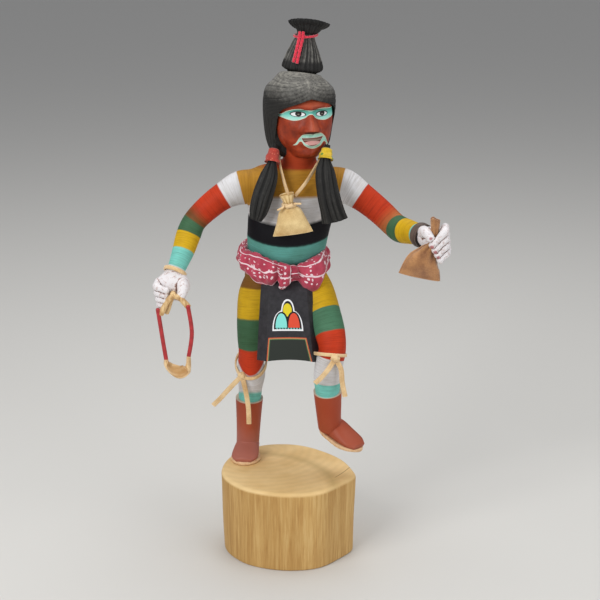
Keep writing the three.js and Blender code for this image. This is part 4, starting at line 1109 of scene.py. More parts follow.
# %% Hanks of hair
right_hank = [
    [-3.1, 2.6, 82.6, 0.7, 0.7], [-3.6, 0.9, 79.2, 0.9, 0.9], [-4.4, -0.9, 75.8, 2.1, 1.5],
    [-5.8, -1.7, 71.4, 2.5, 1.7], [-6.9, -2.2, 67.6, 2.3, 1.5], [-7.7, -2.3, 65.2, 1.5, 1.0],
]
left_hank = [
    [9.5, 1.0, 82.6, 0.7, 0.7], [9.0, -0.3, 80.2, 1.0, 0.9], [8.9, -1.6, 76.8, 2.3, 1.6],
    [9.6, -2.3, 72.0, 2.7, 1.8], [10.6, -2.5, 67.8, 2.9, 1.8], [11.3, -2.4, 65.0, 3.2, 1.5],
]


def hank_strands(angle, t):
    """Locks as narrow valleys of |sin 3a| and |sin 4.5a| out of step, strands |sin 11a|, all bent down the
    hank."""
    turned = angle + 0.1 * np.sin(1.3 * t) + 0.04 * t
    valleys = (1 - np.abs(np.sin(3 * turned + 0.4))) ** 3
    valleys = valleys + 0.7 * (1 - np.abs(np.sin(4.5 * turned + 0.3 * np.sin(t)))) ** 4
    strands = 1 - np.abs(np.sin(11 * turned + 0.8 * np.sin(2 * t) + np.sin(3 * angle)))
    return 1.0 - 0.2 * valleys - 0.055 * strands**1.5


for side_name, stations in (("right", right_hank), ("left", left_hank)):
    hank = loft(stations, rows=110, around=200, carve=hank_strands, dome=(0.2, 0.15))
    mesh = mesh_of("hank_" + side_name, *closed_surface(*hank))
    store(mesh, "ridge", (carved_values(hank_strands, stations, 110, 200) - 0.86) / 0.14)
    store(mesh, "crown", np.full(len(mesh.vertices), 0.12))
    piece_of("hank_" + side_name, mesh, [hair_paint], ["hair_hank_" + side_name])

# %% [markdown]
# ### Cloth wraps and red yarn
#
# Each hank starts in a strip of thin cloth wound round it. The strip is a sleeve with slanting creases, one
# for each turn. The yarn round the tuft is a tube whose section is pinched by a helix, so that the two
# plies show.

# %% Cloth of the wraps
def wound_cloth(name, ground, print_colour, scale):
    """Thin printed cotton: a weave of fine crossed waves, dots of the print, and a soft worn lightness."""
    material, tree, shader, where = finish(name, Roughness=0.85, Sheen_Weight=0.25)
    dots = add(tree, "TexVoronoi", inputs={"Vector": where, "Scale": scale}, output="Distance")
    printed = add(tree, "Math", {"operation": "LESS_THAN"}, {0: dots, 1: 0.27})
    cloudy = add(tree, "TexNoise", inputs={"Vector": where, "Scale": 230, "Detail": 4})
    ground_tone = add(tree, "ValToRGB", {"stops": [(0.3, tuple(c * 0.55 for c in ground[:3])),
                                                   (0.7, ground)]},
                      {"Fac": cloudy}, "Color")
    colour = add(tree, "MixRGB", inputs={"Fac": printed, "Color1": ground_tone, "Color2": print_colour})
    tree.links.new(colour, shader.inputs["Base Color"])
    weave = add(tree, "TexNoise", inputs={"Vector": where, "Scale": 2600, "Detail": 1})
    bump = add(tree, "Bump", inputs={"Height": weave, "Strength": 0.3, "Distance": 0.0003})
    tree.links.new(bump, shader.inputs["Normal"])
    return material


red_print = wound_cloth("red printed cotton", rgb("#b83c2c"), rgb("#c4604c"), 520)
yellow_print = wound_cloth("yellow printed cotton", rgb("#e2bd1e"), rgb("#6f8a2c"), 240)


def wound_creases(angle, t):
    """Slanting creases: waves of the angle plus 9 t, minus 15 t, and a sharp one of the angle plus 7 t."""
    slant = 0.05 * np.sin(angle + 9 * t) + 0.025 * np.sin(3 * angle - 15 * t + 1)
    return 1 + slant - 0.02 * np.abs(np.sin(7 * t + angle))


wrap_thickness = 0.0013
for side_name, stations, cloth in (("right", right_hank, red_print), ("left", left_hank, yellow_print)):
    rows = np.array(stations)
    grow = wrap_thickness / share
    top = [*(0.6 * rows[0, :3] + 0.4 * rows[1, :3]), 0.8 + grow, 0.8 + grow]
    bottom = [*(0.8 * rows[1, :3] + 0.2 * rows[2, :3]), 1.4 + grow, 1.3 + grow]
    sleeve = loft([top, bottom], rows=60, around=72, carve=wound_creases, dome=(0.35, -0.25))
    mesh = mesh_of("wrap_" + side_name, *closed_surface(*sleeve))
    piece_of("wrap_" + side_name, mesh, [cloth],
             ["hank_wrap_" + side_name])

# %% Strips, tubes and rings: helpers for everything that is tied on
def run(points, width, thickness, **options):
    """A strip or tube of one section in metres through points in shares: flat=6 squares it to a leather
    strip."""
    points = np.asarray(points, float)
    girth = np.tile([width / 2 / share, thickness / 2 / share], (len(points), 1))
    return closed_surface(*loft(np.hstack([points, girth]), **options))


def band(centre, radii, width, thickness, axis=(0, 0, 1), lift=(0, 0), turns=120, around=16, flat=5.0,
         change=None):
    """A ring round a limb. Its middle runs on an ellipse with the given radii, lifted by lift . (cos, sin);
    its section is a squared oval, thickness outward by width along the axis, scaled by change(turn,
    angle)."""
    up = unit(axis)
    right = unit(np.array([1, 0, 0]) - up * up[0])
    back = np.cross(up, right)
    turn = np.linspace(0, 2 * np.pi, turns, endpoint=False)[:, None]
    angle = np.linspace(0, 2 * np.pi, around, endpoint=False)[None, :]
    out = np.cos(turn) * right + np.sin(turn) * back
    middle = place(centre) + radii[0] * np.cos(turn) * right + radii[1] * np.sin(turn) * back
    middle = middle + (lift[0] * np.cos(turn) + lift[1] * np.sin(turn)) * up
    scale = (np.abs(np.cos(angle)) ** flat + np.abs(np.sin(angle)) ** flat) ** (-1 / flat)
    scale = scale * (change(turn, angle) if change else 1)
    rings = middle[:, None] + out[:, None] * (scale * thickness / 2 * np.cos(angle))[..., None]
    return ring_surface(rings + up * (scale * width / 2 * np.sin(angle))[..., None])


def several(*surfaces):
    """Closed surfaces side by side in one list of points and faces."""
    points, faces, start = [], [], 0
    for some_points, some_faces in surfaces:
        points.append(some_points)
        faces += [[start + corner for corner in face] for face in some_faces]
        start += len(some_points)
    return np.concatenate(points), faces


# %% Red yarn round the topknot
yarn_thickness = 0.0022
yarn, tree, shader, where = finish("spun red yarn", Roughness=0.9, Sheen_Weight=0.5)
fibres = add(tree, "TexNoise", inputs={"Vector": where, "Scale": 1500, "Detail": 3})
colour = add(tree, "ValToRGB", {"stops": [(0.35, rgb("#a80f28")), (0.65, rgb("#ea2a48"))]}, {"Fac": fibres},
             "Color")
tree.links.new(colour, shader.inputs["Base Color"])
bump = add(tree, "Bump", inputs={"Height": fibres, "Strength": 0.6, "Distance": 0.0003})
tree.links.new(bump, shader.inputs["Normal"])


def ply(angle, t):
    """Two plies: the section is pinched twice round, and the pinch turns as the yarn runs."""
    return 1 - 0.16 * np.abs(np.cos(angle + 9 * t))


def ring_ply(turn, angle):
    return 1 - 0.16 * np.abs(np.cos(angle + 8 * turn))


radius = 2.2 * share + 0.0003 + yarn_thickness / 2
turn_of_yarn = band([4.3, 7.2, 107.9], [radius, radius], 0.8 * yarn_thickness, 0.8 * yarn_thickness,
                    lift=(0.0003, 0.0004), flat=2.0, around=20, turns=140, change=ring_ply)
tails = [
    run([[3.3 + shift, 4.4, 109.0], [3.1 + shift, 4.0, 107.4], [2.4 + shift, 2.85, 104.6],
         [1.8 + shift, 2.1, low]],
        yarn_thickness, yarn_thickness, rows=120, around=20, carve=ply)
    for shift, low in ((-0.4, 102.3), (0.42, 102.0))
]
knot_of_yarn = run([[2.6, 4.6, 108.0], [3.3, 4.4, 108.1], [4.0, 4.6, 107.9]], 0.0024, 0.0024, rows=30,
                   around=20)
piece_of("topknot_yarn", mesh_of("topknot_yarn", *several(turn_of_yarn, *tails, knot_of_yarn)),
         [yarn],
         ["topknot_tie"])

# %% [markdown]
# ## Leather: pouch, laces, bag and strap
#
# The leather is real, so its surface differs from the paint: soft, with a fine random grain, painted darker
# in the folds as shade, and a little fuzzy at grazing angles, which Sheen gives. One function makes all four
# leathers from their light and dark tones, grain size and fuzz.

# %% Leather finishes
def leather(name, dark, light, grain=900, fuzz=0.3, depth=0.0004, roughness=0.85):
    """Leather between two tones: broad clouds and a fine grain set the tone, and painted shade darkens the
    folds."""
    material, tree, shader, where = finish(name, Roughness=roughness, Sheen_Weight=fuzz,
                                           Specular_IOR_Level=0.3)
    broad = add(tree, "TexNoise", inputs={"Vector": where, "Scale": 110, "Detail": 4})
    fine = add(tree, "TexNoise", inputs={"Vector": where, "Scale": grain, "Detail": 3, "Roughness": 0.7})
    # Pointiness darkens the leather in its folds: painted shade.
    fold = add(tree, "NewGeometry", output="Pointiness")
    crease = add(tree, "MapRange", inputs={"Value": fold, "From Min": 0.46, "From Max": 0.51})
    mixed = add(tree, "Math", {"operation": "MULTIPLY_ADD"}, {0: fine, 1: 0.5, 2: broad})
    shaded = add(tree, "Math", {"operation": "MULTIPLY"}, {0: mixed, 1: crease})
    colour = add(tree, "ValToRGB", {"stops": [(0.4, rgb(dark)), (0.85, rgb(light))]}, {"Fac": shaded},
                 "Color")
    tree.links.new(colour, shader.inputs["Base Color"])
    bump = add(tree, "Bump", inputs={"Height": fine, "Strength": 0.5, "Distance": depth})
    tree.links.new(bump, shader.inputs["Normal"])
    return material


buff = leather("buff lace leather", "#b98f5a", "#e2c394")
chamois = leather("buff pouch leather", "#b8935a", "#e6cb94", grain=1400)
suede = leather("brown suede", "#74482a", "#b58252", grain=1000, fuzz=0.6, depth=0.0008)
dark_strap = leather("dark brown strap leather", "#231a17", "#5c4a40", grain=500, fuzz=0.1, roughness=0.6)

# %% Neck pouch
def pouch_wrinkles(angle, t):
    """Gathers at the neck, which fade out down the bag, and a pinched seam at each side."""
    neck = np.exp(-(((t - 1.6) / 1.1) ** 2))
    seam = np.exp(-((np.sin(angle) / 0.09) ** 2)) * np.clip(t - 2.2, 0, 1)
    return 1 + 0.09 * neck * np.sin(9 * angle + 0.6 * t) + 0.02 * np.sin(3 * angle + 2 * t) + 0.035 * seam


pouch = loft([
    [-0.3, -2.6, 71.6, 1.8, 1.2], [0.0, -2.5, 70.3, 1.3, 1.0], [0.3, -2.4, 68.8, 1.1, 0.9],
    [0.5, -2.5, 67.6, 2.5, 1.3], [0.9, -2.8, 64.8, 3.6, 1.7], [1.3, -2.9, 61.9, 4.7, 0.8],
], rows=120, around=120, carve=pouch_wrinkles, dome=(-0.7, 0.3))
pouch_piece = piece_of("pouch", mesh_of("pouch", *closed_surface(*pouch)), [chamois],
                       ["neck_pouch"])

# %% Laces at the neck and round the pouch
lace_width, lace_thickness, touch = 0.0026, 0.0013, 0.0003
neck_run = [
    [0.2, -1.5, 70.9], [-0.8, -0.6, 74.0], [-1.7, 1.4, 77.2], [-2.0, 4.6, 78.9], [-1.2, 9.2, 79.2],
    [2.9, 11.8, 78.6], [7.0, 9.2, 79.2], [7.8, 4.6, 78.9], [6.6, 1.4, 77.2], [4.4, -0.6, 74.0],
    [1.8, -1.5, 70.9],
]
neck_lace = run(neck_run, 0.85 * lace_width, lace_thickness, rows=200, around=16, across=(0, 0, 1), flat=4)
piece_of("neck_lace_strip", mesh_of("neck_lace_strip", *neck_lace), [buff], ["neck_lace"])

gap = touch + lace_thickness / 2
tie_band = band([0.3, -2.4, 68.9], [1.2 * share + gap, share + gap], 0.9 * lace_width, lace_thickness,
                turns=90)
tie_ends = [
    run([[0.3 + 1.3 * way, -3.2, 69.0], [(0.3 + x) / 2, -4.0, (69.4 + z) / 2], [x, -4.3, z]], lace_width / 2,
        lace_thickness, rows=30, around=14, flat=4)
    for way, x, z in ((-1, -2.4, 68.0), (1, 3.2, 69.6))
]
tie_knot = run([[-0.2, -3.9, 68.7], [0.5, -4.2, 69.0], [1.1, -3.9, 69.2]], 0.0026, 0.0022, rows=24, around=18)
piece_of("pouch_lace", mesh_of("pouch_lace", *several(tie_band, *tie_ends, tie_knot)), [buff],
         ["pouch_tie"])

# %% Suede bag in the left hand
def bag_wrinkles(angle, t):
    """Gathers that run down from the fist and fade, a rippled rim and a pinched seam at each side."""
    gathers = np.exp(-(((t - 2.3) / 1.2) ** 2))
    seam = np.exp(-((np.sin(angle) / 0.08) ** 2)) * np.clip(t - 2.5, 0, 1)
    return 1 + 0.1 * gathers * np.sin(7 * angle + t) + 0.03 * np.sin(4 * angle - 1.5 * t) + 0.03 * seam


bag = loft([
    [34.2, -14.7, 68.2, 1.15, 0.9], [34.2, -14.6, 65.8, 1.05, 0.9], [34.0, -14.6, 62.6, 1.0, 0.9],
    [32.8, -14.6, 60.4, 2.3, 1.4], [31.5, -14.8, 57.8, 3.95, 1.9], [30.8, -14.9, 54.6, 5.0, 0.9],
], rows=130, around=120, carve=bag_wrinkles, dome=(-0.5, 0.3))
# The mouth of the bag stands up in one soft tip above the fist
tip_x, tip_width, tip_rise, mouth_height = 33.7, 0.7, 0.6, 67.6
bag_points = bag[0]
near_tip = np.exp(-(((bag_points[..., 0] / share - tip_x) / tip_width) ** 2))
in_mouth = bag_points[..., 2] > place([0, 0, mouth_height])[2]
bag_points[..., 2] += tip_rise * share * near_tip * in_mouth
bag_piece = piece_of("bag", mesh_of("bag", *closed_surface(*bag)), [suede], ["hand_bag"])

# %% Lace and strap at the wrists
reach = 2.3 * share + gap
wrist_band = band([-27.4, -1.25, 52.0], [reach, reach], lace_width, lace_thickness, axis=(1.5, 2.2, 3.6))
piece_of("wrist_lace_strip", mesh_of("wrist_lace_strip", *wrist_band), [buff], ["wrist_lace"])


def strap_turns(angle, t):
    """Three turns of a strap: a rounded ridge for each, with a sharp valley between that leans round the
    wrist."""
    return 0.95 + 0.08 * np.abs(np.sin(0.75 * np.pi * t + 0.25 * np.sin(angle))) ** 0.6


grow = lace_thickness / share
cuff = loft([
    [31.35, -7.1, 62.75, 2.5 + grow, 2.45 + grow], [31.9, -8.1, 62.8, 2.4 + grow, 2.3 + grow],
    [32.4, -9.0, 62.8, 2.3 + grow, 2.2 + grow],
], rows=70, around=72, across=(0, 0, 1), carve=strap_turns, dome=-0.1)
piece_of("wrist_strap_turns", mesh_of("wrist_strap_turns", *closed_surface(*cuff)),
         [dark_strap],
         ["wrist_strap"])


# %% Ties below the knees
def knee_tie(name, centre, radii, lift, knot, tails):
    """A loop round the leg that dips towards its knot, the knot's three crossing turns, and its two tails."""
    ring = band(centre, [r * share + gap for r in radii], 0.9 * lace_width, lace_thickness, lift=lift,
                turns=160)
    x, y, z = knot
    turns = [
        run([[x - 0.8, y, z + 0.35], [x, y - 0.35, z + 0.1], [x + 0.8, y, z - 0.3]], 0.0036, 0.0026, rows=30,
            around=18,
            across=(0, 0, 1), flat=3),
        run([[x + 0.1, y + 0.1, z + 0.75], [x + 0.15, y - 0.65, z + 0.05], [x - 0.1, y + 0.1, z - 0.7]],
            0.0028, 0.0022,
            rows=30, around=18, flat=3),
    ]
    ends = [run([knot, *points], 1.3 * lace_width, lace_thickness, rows=70, around=16,
                flat=4) for points in tails]
    piece_of(name + "_lace", mesh_of(name + "_lace", *several(ring, *turns, *ends)), [buff],
             [name])


knee_tie("knee_tie_right", [-9.45, 6.2, 25.9], (3.5, 3.9), (0.0004, 0.0074), (-11.6, 2.7, 23.7),
         [[[-14.4, 2.2, 20.9], [-17.0, 2.0, 18.0], [-18.9, 2.2, 16.0]],
          [[-10.7, 2.6, 19.5], [-10.1, 2.9, 15.0], [-10.0, 3.1, 10.6]]])
knee_tie("knee_tie_left", [10.3, -6.3, 32.5], (3.5, 3.8), (-0.0008, -0.0034), (11.4, -10.5, 32.8),
         [[[9.7, -11.0, 30.2], [8.0, -10.8, 28.0], [6.6, -10.6, 26.6]],
          [[12.8, -10.6, 30.2], [13.2, -10.0, 26.4], [13.9, -9.6, 22.8]]])

# %% [markdown]
# ## The slingshot
#
# A peeled twig forks in the fist, two red rubber bands hang from its tips, and a leather pocket joins them
# below.

# %% Slingshot pieces
twig, tree, shader, where = finish("peeled twig", Roughness=0.55)
stretched = add(tree, "Mapping", inputs={"Vector": where, "Scale": (1, 1, 0.3)})
grain = add(tree, "TexNoise", inputs={"Vector": stretched, "Scale": 700, "Detail": 4})
colour = add(tree, "ValToRGB", {"stops": [(0.3, rgb("#a87a44")), (0.6, rgb("#dcbc88"))]}, {"Fac": grain},
             "Color")
tree.links.new(colour, shader.inputs["Base Color"])

rubber, tree, shader, where = finish("red rubber band", Roughness=0.38)
bloom = add(tree, "TexNoise", inputs={"Vector": where, "Scale": 300, "Detail": 3})
colour = add(tree, "ValToRGB", {"stops": [(0.35, rgb("#9c2024")), (0.7, rgb("#b83034"))]}, {"Fac": bloom},
             "Color")
tree.links.new(colour, shader.inputs["Base Color"])

stick = 0.0046
fork_tips = np.array([[-30.6, -6.6, 42.8], [-23.9, -6.6, 44.6]])
crotch = np.array([-27.6, -6.9, 47.6])
knotty = lambda angle, t: 1 + 0.05 * np.sin(2 * angle + 3 * t) + 0.03 * np.sin(5 * t)
twigs = [
    run(points, thickness * stick, thickness * stick, rows=40, around=28, across=(0, 1, 0), carve=knotty)
    for points, thickness in (([[-27.8, -3.4, 47.4], [-27.7, -5.2, 47.6], crotch], 0.9),
                              ([crotch, [-28.5, -5.9, 44.8], [-29.3, -5.4, 42.7]], 0.6))
]
for tip in fork_tips:
    twigs.append(run([crotch, (tip + crotch) / 2 + [0, 0, 0.6], tip], 0.8 * stick, 0.8 * stick, rows=40,
                     around=24,
                     across=(0, 1, 0), carve=knotty))
piece_of("fork", mesh_of("fork", *several(*twigs)), [twig], ["slingshot_fork"])

rubber_thickness = 0.0028
pocket_ends = np.array([[-29.6, -6.6, 30.7], [-24.2, -6.6, 31.5]])
for side_name, tip, end, bow, hook in (("right", fork_tips[0], pocket_ends[0], -0.3, [-0.7, -0.2, 1.2]),
                                       ("left", fork_tips[1], pocket_ends[1], 0.8, [-0.1, -0.5, 0.3])):
    start = tip + hook
    middle = (tip + end) / 2 + [bow, 0, 0]
    tube = run([start, middle, end + [0, 0, 0.2]], rubber_thickness, rubber_thickness, rows=60, around=24,
               across=(0, 1, 0),
               dome=0.9)
    piece_of("band_" + side_name, mesh_of("band_" + side_name, *tube), [rubber],
             ["sling_band_" + side_name])

(ax, ay, az), (bx, by, bz) = pocket_ends
dish, dish_start, dish_end = loft([
    [ax, ay, az + 0.5, 0.8, 0.5], [ax + 0.1, ay, az - 0.7, 1.1, 0.5], [-28.3, -6.8, 28.7, 1.4, 0.45],
    [-26.3, -7.0, 27.9, 1.7, 0.45], [-24.5, -6.8, 28.7, 1.6, 0.45], [bx - 0.1, by, bz - 1.0, 1.1, 0.5],
    [bx, by, bz + 0.5, 0.8, 0.5],
], rows=90, around=40, across=(0, 0.75, 0.66), carve=lambda angle, t: 1 + 0.05 * np.sin(5 * angle + 3 * t),
flat=2.6)
# The leather cups: the strip's edges rise towards the side that it opens to, most in the middle of its length
opening = unit(dish[:, 10] - dish[:, 30])
cup_rise, cup_sink = 0.9 * share, 0.3 * share
lengthwise = np.sin(np.linspace(0, np.pi, len(dish)))[:, None]
crosswise = np.cos(np.linspace(0, 2 * np.pi, dish.shape[1], endpoint=False)) ** 2
dish = dish + opening[:, None] * (cup_rise * lengthwise * crosswise - cup_sink * lengthwise)[..., None]
pocket_mesh = mesh_of("pocket", *closed_surface(dish, dish_start, dish_end))
piece_of("pocket", pocket_mesh, [buff], ["sling_pocket"])

# %% [markdown]
# ## Breechcloth panels
#
# Two stiff black panels hang from under the sash. Each is a grid whose sides turn back, thickened by
# Solidify and softened by Bevel. The cloud arches and the border on the front one are thin flat paint, so
# they are colour in the material only, worked out from the panel's own coordinates: u across, v down.

# %% Panel shape
apron_thickness = 0.0018


def panel_mesh(name, half_top, half_growth, at):
    """Grid over u from -1 to 1 and v from 0 to 1: half width h = top + growth v, sides bent back past |u| =
    0.7."""
    u, v = np.meshgrid(np.linspace(-1, 1, 121), np.linspace(0, 1, 101))
    half = half_top + half_growth * v
    turned = np.maximum(0, np.abs(u) - 0.7) * half * 0.9
    points = place(at(u, v, half, turned)).reshape(-1, 3)
    index = np.arange(points.shape[0]).reshape(u.shape)
    quads = np.stack([index[:-1, :-1], index[1:, :-1], index[1:, 1:], index[:-1, 1:]], -1).reshape(-1, 4)
    mesh = mesh_of(name, points, quads.tolist())
    store(mesh, "panel_u", u)
    store(mesh, "panel_v", v)
    return mesh


def thicken(piece, thickness, offset, round_off):
    """Gives a panel its thickness to one side and rounds its edges."""
    solidify = piece.modifiers.new("thickness", "SOLIDIFY")
    solidify.thickness = thickness
    solidify.offset = offset
    bevel = piece.modifiers.new("softened edge", "BEVEL")
    bevel.width = round_off
    bevel.segments = 2
    bevel.limit_method = "ANGLE"


def front_at(u, v, half, turned):
    """The front panel: its top is bent back under the sash, it leans over the raised thigh and its corners
    hang."""
    under_sash = 1.5 * np.clip(1 - v / 0.3, 0, 1) ** 1.3
    x = -0.1 + 0.4 * v + half * u + 0.6 * v**3 * np.clip(u, 0, 1)
    y = -2.0 - 7.2 * v + 1.6 * v**2 + under_sash + turned
    return np.stack([x, y, 49.6 - 17.6 * v - v**3 * (0.5 + (1.0 + 0.25 * u) * u**2)], -1)


def back_at(u, v, half, turned):
    """The back panel hangs nearly straight down."""
    return np.stack([-0.9 + 0.2 * v + half * u, 15.9 + 1.4 * v - turned, 49.6 - 16.6 * v], -1)


# %% Panel paint
def scuffed_black(name):
    """Black leather, matt, with paler scuffs: material, tree, shader, the scuffs and their colour."""
    material, tree, shader, where = finish(name, Roughness=0.6, Specular_IOR_Level=0.35)
    scuff = add(tree, "TexNoise", inputs={"Vector": where, "Scale": 260, "Detail": 4, "Roughness": 0.7})
    ground = add(tree, "ValToRGB", {"stops": [(0.3, rgb("#19181b")), (0.62, rgb("#2c2a2e")),
                                              (0.8, rgb("#3a383c"))]},
                 {"Fac": scuff}, "Color")
    return material, tree, shader, scuff, ground


black_panel, tree, shader, scuff, ground = scuffed_black("painted black leather")
u = add(tree, "Attribute", {"attribute_name": "panel_u"}, output="Fac")
v = add(tree, "Attribute", {"attribute_name": "panel_v"}, output="Fac")
tree.links.new(add(tree, "Bump", inputs={"Height": scuff, "Strength": 0.25, "Distance": 0.0003}),
               shader.inputs["Normal"])

# %% The painted border: nested lines by their distance from the border's outer edge
border_top, panel_length, panel_half = 0.715, 17.6, 7.6
left_edge = add(tree, "Math", {"operation": "MULTIPLY_ADD"}, {0: v, 1: 0.13, 2: 0.566})
right_edge = add(tree, "Math", {"operation": "MULTIPLY_ADD"}, {0: v, 1: 0.36, 2: 0.303})
past_left = add(tree, "Math", {"operation": "ADD"}, {0: u, 1: left_edge})
from_left = add(tree, "Math", {"operation": "MULTIPLY"}, {0: past_left, 1: panel_half})
past_right = add(tree, "Math", {"operation": "SUBTRACT"}, {0: right_edge, 1: u})
from_right = add(tree, "Math", {"operation": "MULTIPLY"}, {0: past_right, 1: panel_half})
from_top = add(tree, "Math", {"operation": "MULTIPLY_ADD"},
               {0: v, 1: panel_length, 2: -panel_length * border_top})
nearest_side = add(tree, "Math", {"operation": "MINIMUM"}, {0: from_left, 1: from_right})
inward = add(tree, "Math", {"operation": "MINIMUM"}, {0: nearest_side, 1: from_top})
lines = add(tree, "ValToRGB", {"interpolation": "CONSTANT", "stops": [
    (0, rgb("#c0532e")), (0.2, rgb("#a98c5c")), (0.34, rgb("#3c5c38")), (0.52, rgb("#222822"))]},
    {"Fac": inward}, "Color")
bordered = add(tree, "MixRGB", inputs={
    "Fac": add(tree, "Math", {"operation": "GREATER_THAN"}, {0: inward, 1: 0.0}), "Color1": ground,
    "Color2": lines})

# %% The cloud emblem: arches are ovals cut off at their base, in the emblem's own coordinates
emblem_base, emblem_half, emblem_rise = 0.631, 0.505, 0.2
ex = add(tree, "Math", {"operation": "MULTIPLY_ADD"}, {0: u, 1: 1 / emblem_half, 2: 0.025 / emblem_half})
ey = add(tree, "Math", {"operation": "MULTIPLY_ADD"},
         {0: v, 1: -1 / emblem_rise, 2: emblem_base / emblem_rise})


def arch(tree, at, size, base, power=2.0):
    """One inside |dx / a| ^ power + |dy / b| ^ power < 1 and above base, else zero."""
    total = None
    for value, middle, reach in ((ex, at[0], size[0]), (ey, at[1], size[1])):
        away = add(tree, "Math", {"operation": "MULTIPLY_ADD"}, {0: value, 1: 1 / reach, 2: -middle / reach})
        term = add(tree, "Math", {"operation": "POWER"},
                   {0: add(tree, "Math", {"operation": "ABSOLUTE"}, {0: away}), 1: power})
        total = term if total is None else add(tree, "Math", {"operation": "ADD"}, {0: total, 1: term})
    inside = add(tree, "Math", {"operation": "LESS_THAN"}, {0: total, 1: 1.0})
    over = add(tree, "Math", {"operation": "GREATER_THAN"}, {0: ey, 1: base})
    return add(tree, "Math", {"operation": "MULTIPLY"}, {0: inside, 1: over})


white_line, black_paint = rgb("#e4e6e8"), rgb("#0f0e12")
cloud_turquoise, cloud_red, cloud_yellow = rgb("#7fd6cc"), rgb("#d4482c"), rgb("#d8c41c")
painted = bordered
for at, size, base_line, power, colour in (
    ((0, 0.0), (1.0, 1.36), 0.0, 2.7, white_line), ((0.03, 1.2), (0.46, 0.82), 0.9, 2.2, white_line),
    ((0, 0.1), (0.9, 1.16), 0.1, 2.7, black_paint), ((0.03, 1.2), (0.37, 0.71), 0.9, 2.2, black_paint),
    ((0.0, 1.34), (0.3, 0.42), 0.9, 2.0, cloud_yellow),
    ((-0.41, 0.2), (0.5, 1.02), 0.1, 2.2, black_paint), ((0.41, 0.2), (0.5, 1.04), 0.1, 2.2, black_paint),
    ((-0.42, 0.2), (0.38, 0.92), 0.2, 2.2, cloud_turquoise), ((0.42, 0.2), (0.37, 0.94), 0.2, 2.2, cloud_red),
):
    painted = add(tree, "MixRGB", inputs={"Fac": arch(tree, at, size, base_line, power), "Color1": painted,
                                          "Color2": colour})
dash_wave = add(tree, "Math", {"operation": "SINE"},
                {0: add(tree, "Math", {"operation": "MULTIPLY"}, {0: ex, 1: 34.0})})
dashes = add(tree, "Math", {"operation": "GREATER_THAN"}, {0: dash_wave, 1: 0.2})
dash_row = add(tree, "Math", {"operation": "MULTIPLY"},
               {0: dashes, 1: arch(tree, (0, 0.15), (0.82, 0.04), 0.0, 8)})
painted = add(tree, "MixRGB", inputs={"Fac": dash_row, "Color1": painted, "Color2": cloud_turquoise})
tree.links.new(painted, shader.inputs["Base Color"])

# %% Hang the panels
plain_panel, tree, shader, scuff, ground = scuffed_black("plain black leather")
tree.links.new(ground, shader.inputs["Base Color"])
front_panel = piece_of("front_panel", panel_mesh("front_panel", 6.4, 1.5, front_at),
                       [black_panel],
                       ["breechcloth_front"])
back_panel = piece_of("back_panel", panel_mesh("back_panel", 6.2, 1.4, back_at),
                      [plain_panel],
                      ["breechcloth_back"])
thicken(front_panel, apron_thickness, -1, 0.0004)
thicken(back_panel, apron_thickness, 1, 0.0004)

# %% [markdown]
# ## The sash: a gathered cotton bandana
#
# The one piece of woven cloth is a printed kerchief, rolled and tied round the waist with its knot in
# front. It is a sheet swept round the body: the section curls in under the belly, bulges out and ends in a
# ragged edge. Folds are sums of waves that lean along the cloth; their sharp valleys come from taking the
# absolute value.

# %% Sash shape
sash_centre, sash_radii, sash_depth = [-1.2, 7.4, 0], [9.6 * share, 8.2 * share], 3.4 * share
# Height of the cloth's upper and lower edge over the turn in degrees, with 270 in front, in shares
upper_edge = [(0, 56.3), (90, 57.6), (180, 56.8), (215, 56.4), (238, 56.0), (259, 54.5), (278, 53.6),
              (300, 53.8),
              (322, 55.4), (340, 56.3), (360, 56.3)]
lower_edge = [(0, 50.8), (90, 51.0), (180, 51.3), (212, 51.0), (230, 49.6), (240, 48.4), (256, 48.2),
              (262, 49.4),
              (267, 48.1), (274, 48.6), (284, 49.4), (290, 49.3), (297, 47.6), (306, 46.8), (316, 47.1),
              (328, 49.0),
              (345, 50.6), (360, 50.8)]
# The print lies on the cloth by metres along it and down it
cloth_radius, cloth_width = 0.0245, 0.032
waves = np.random.default_rng(7)
crumple = [(waves.integers(5, 42), waves.uniform(-30, 30), waves.uniform(0, 2 * np.pi)) for _ in range(16)]


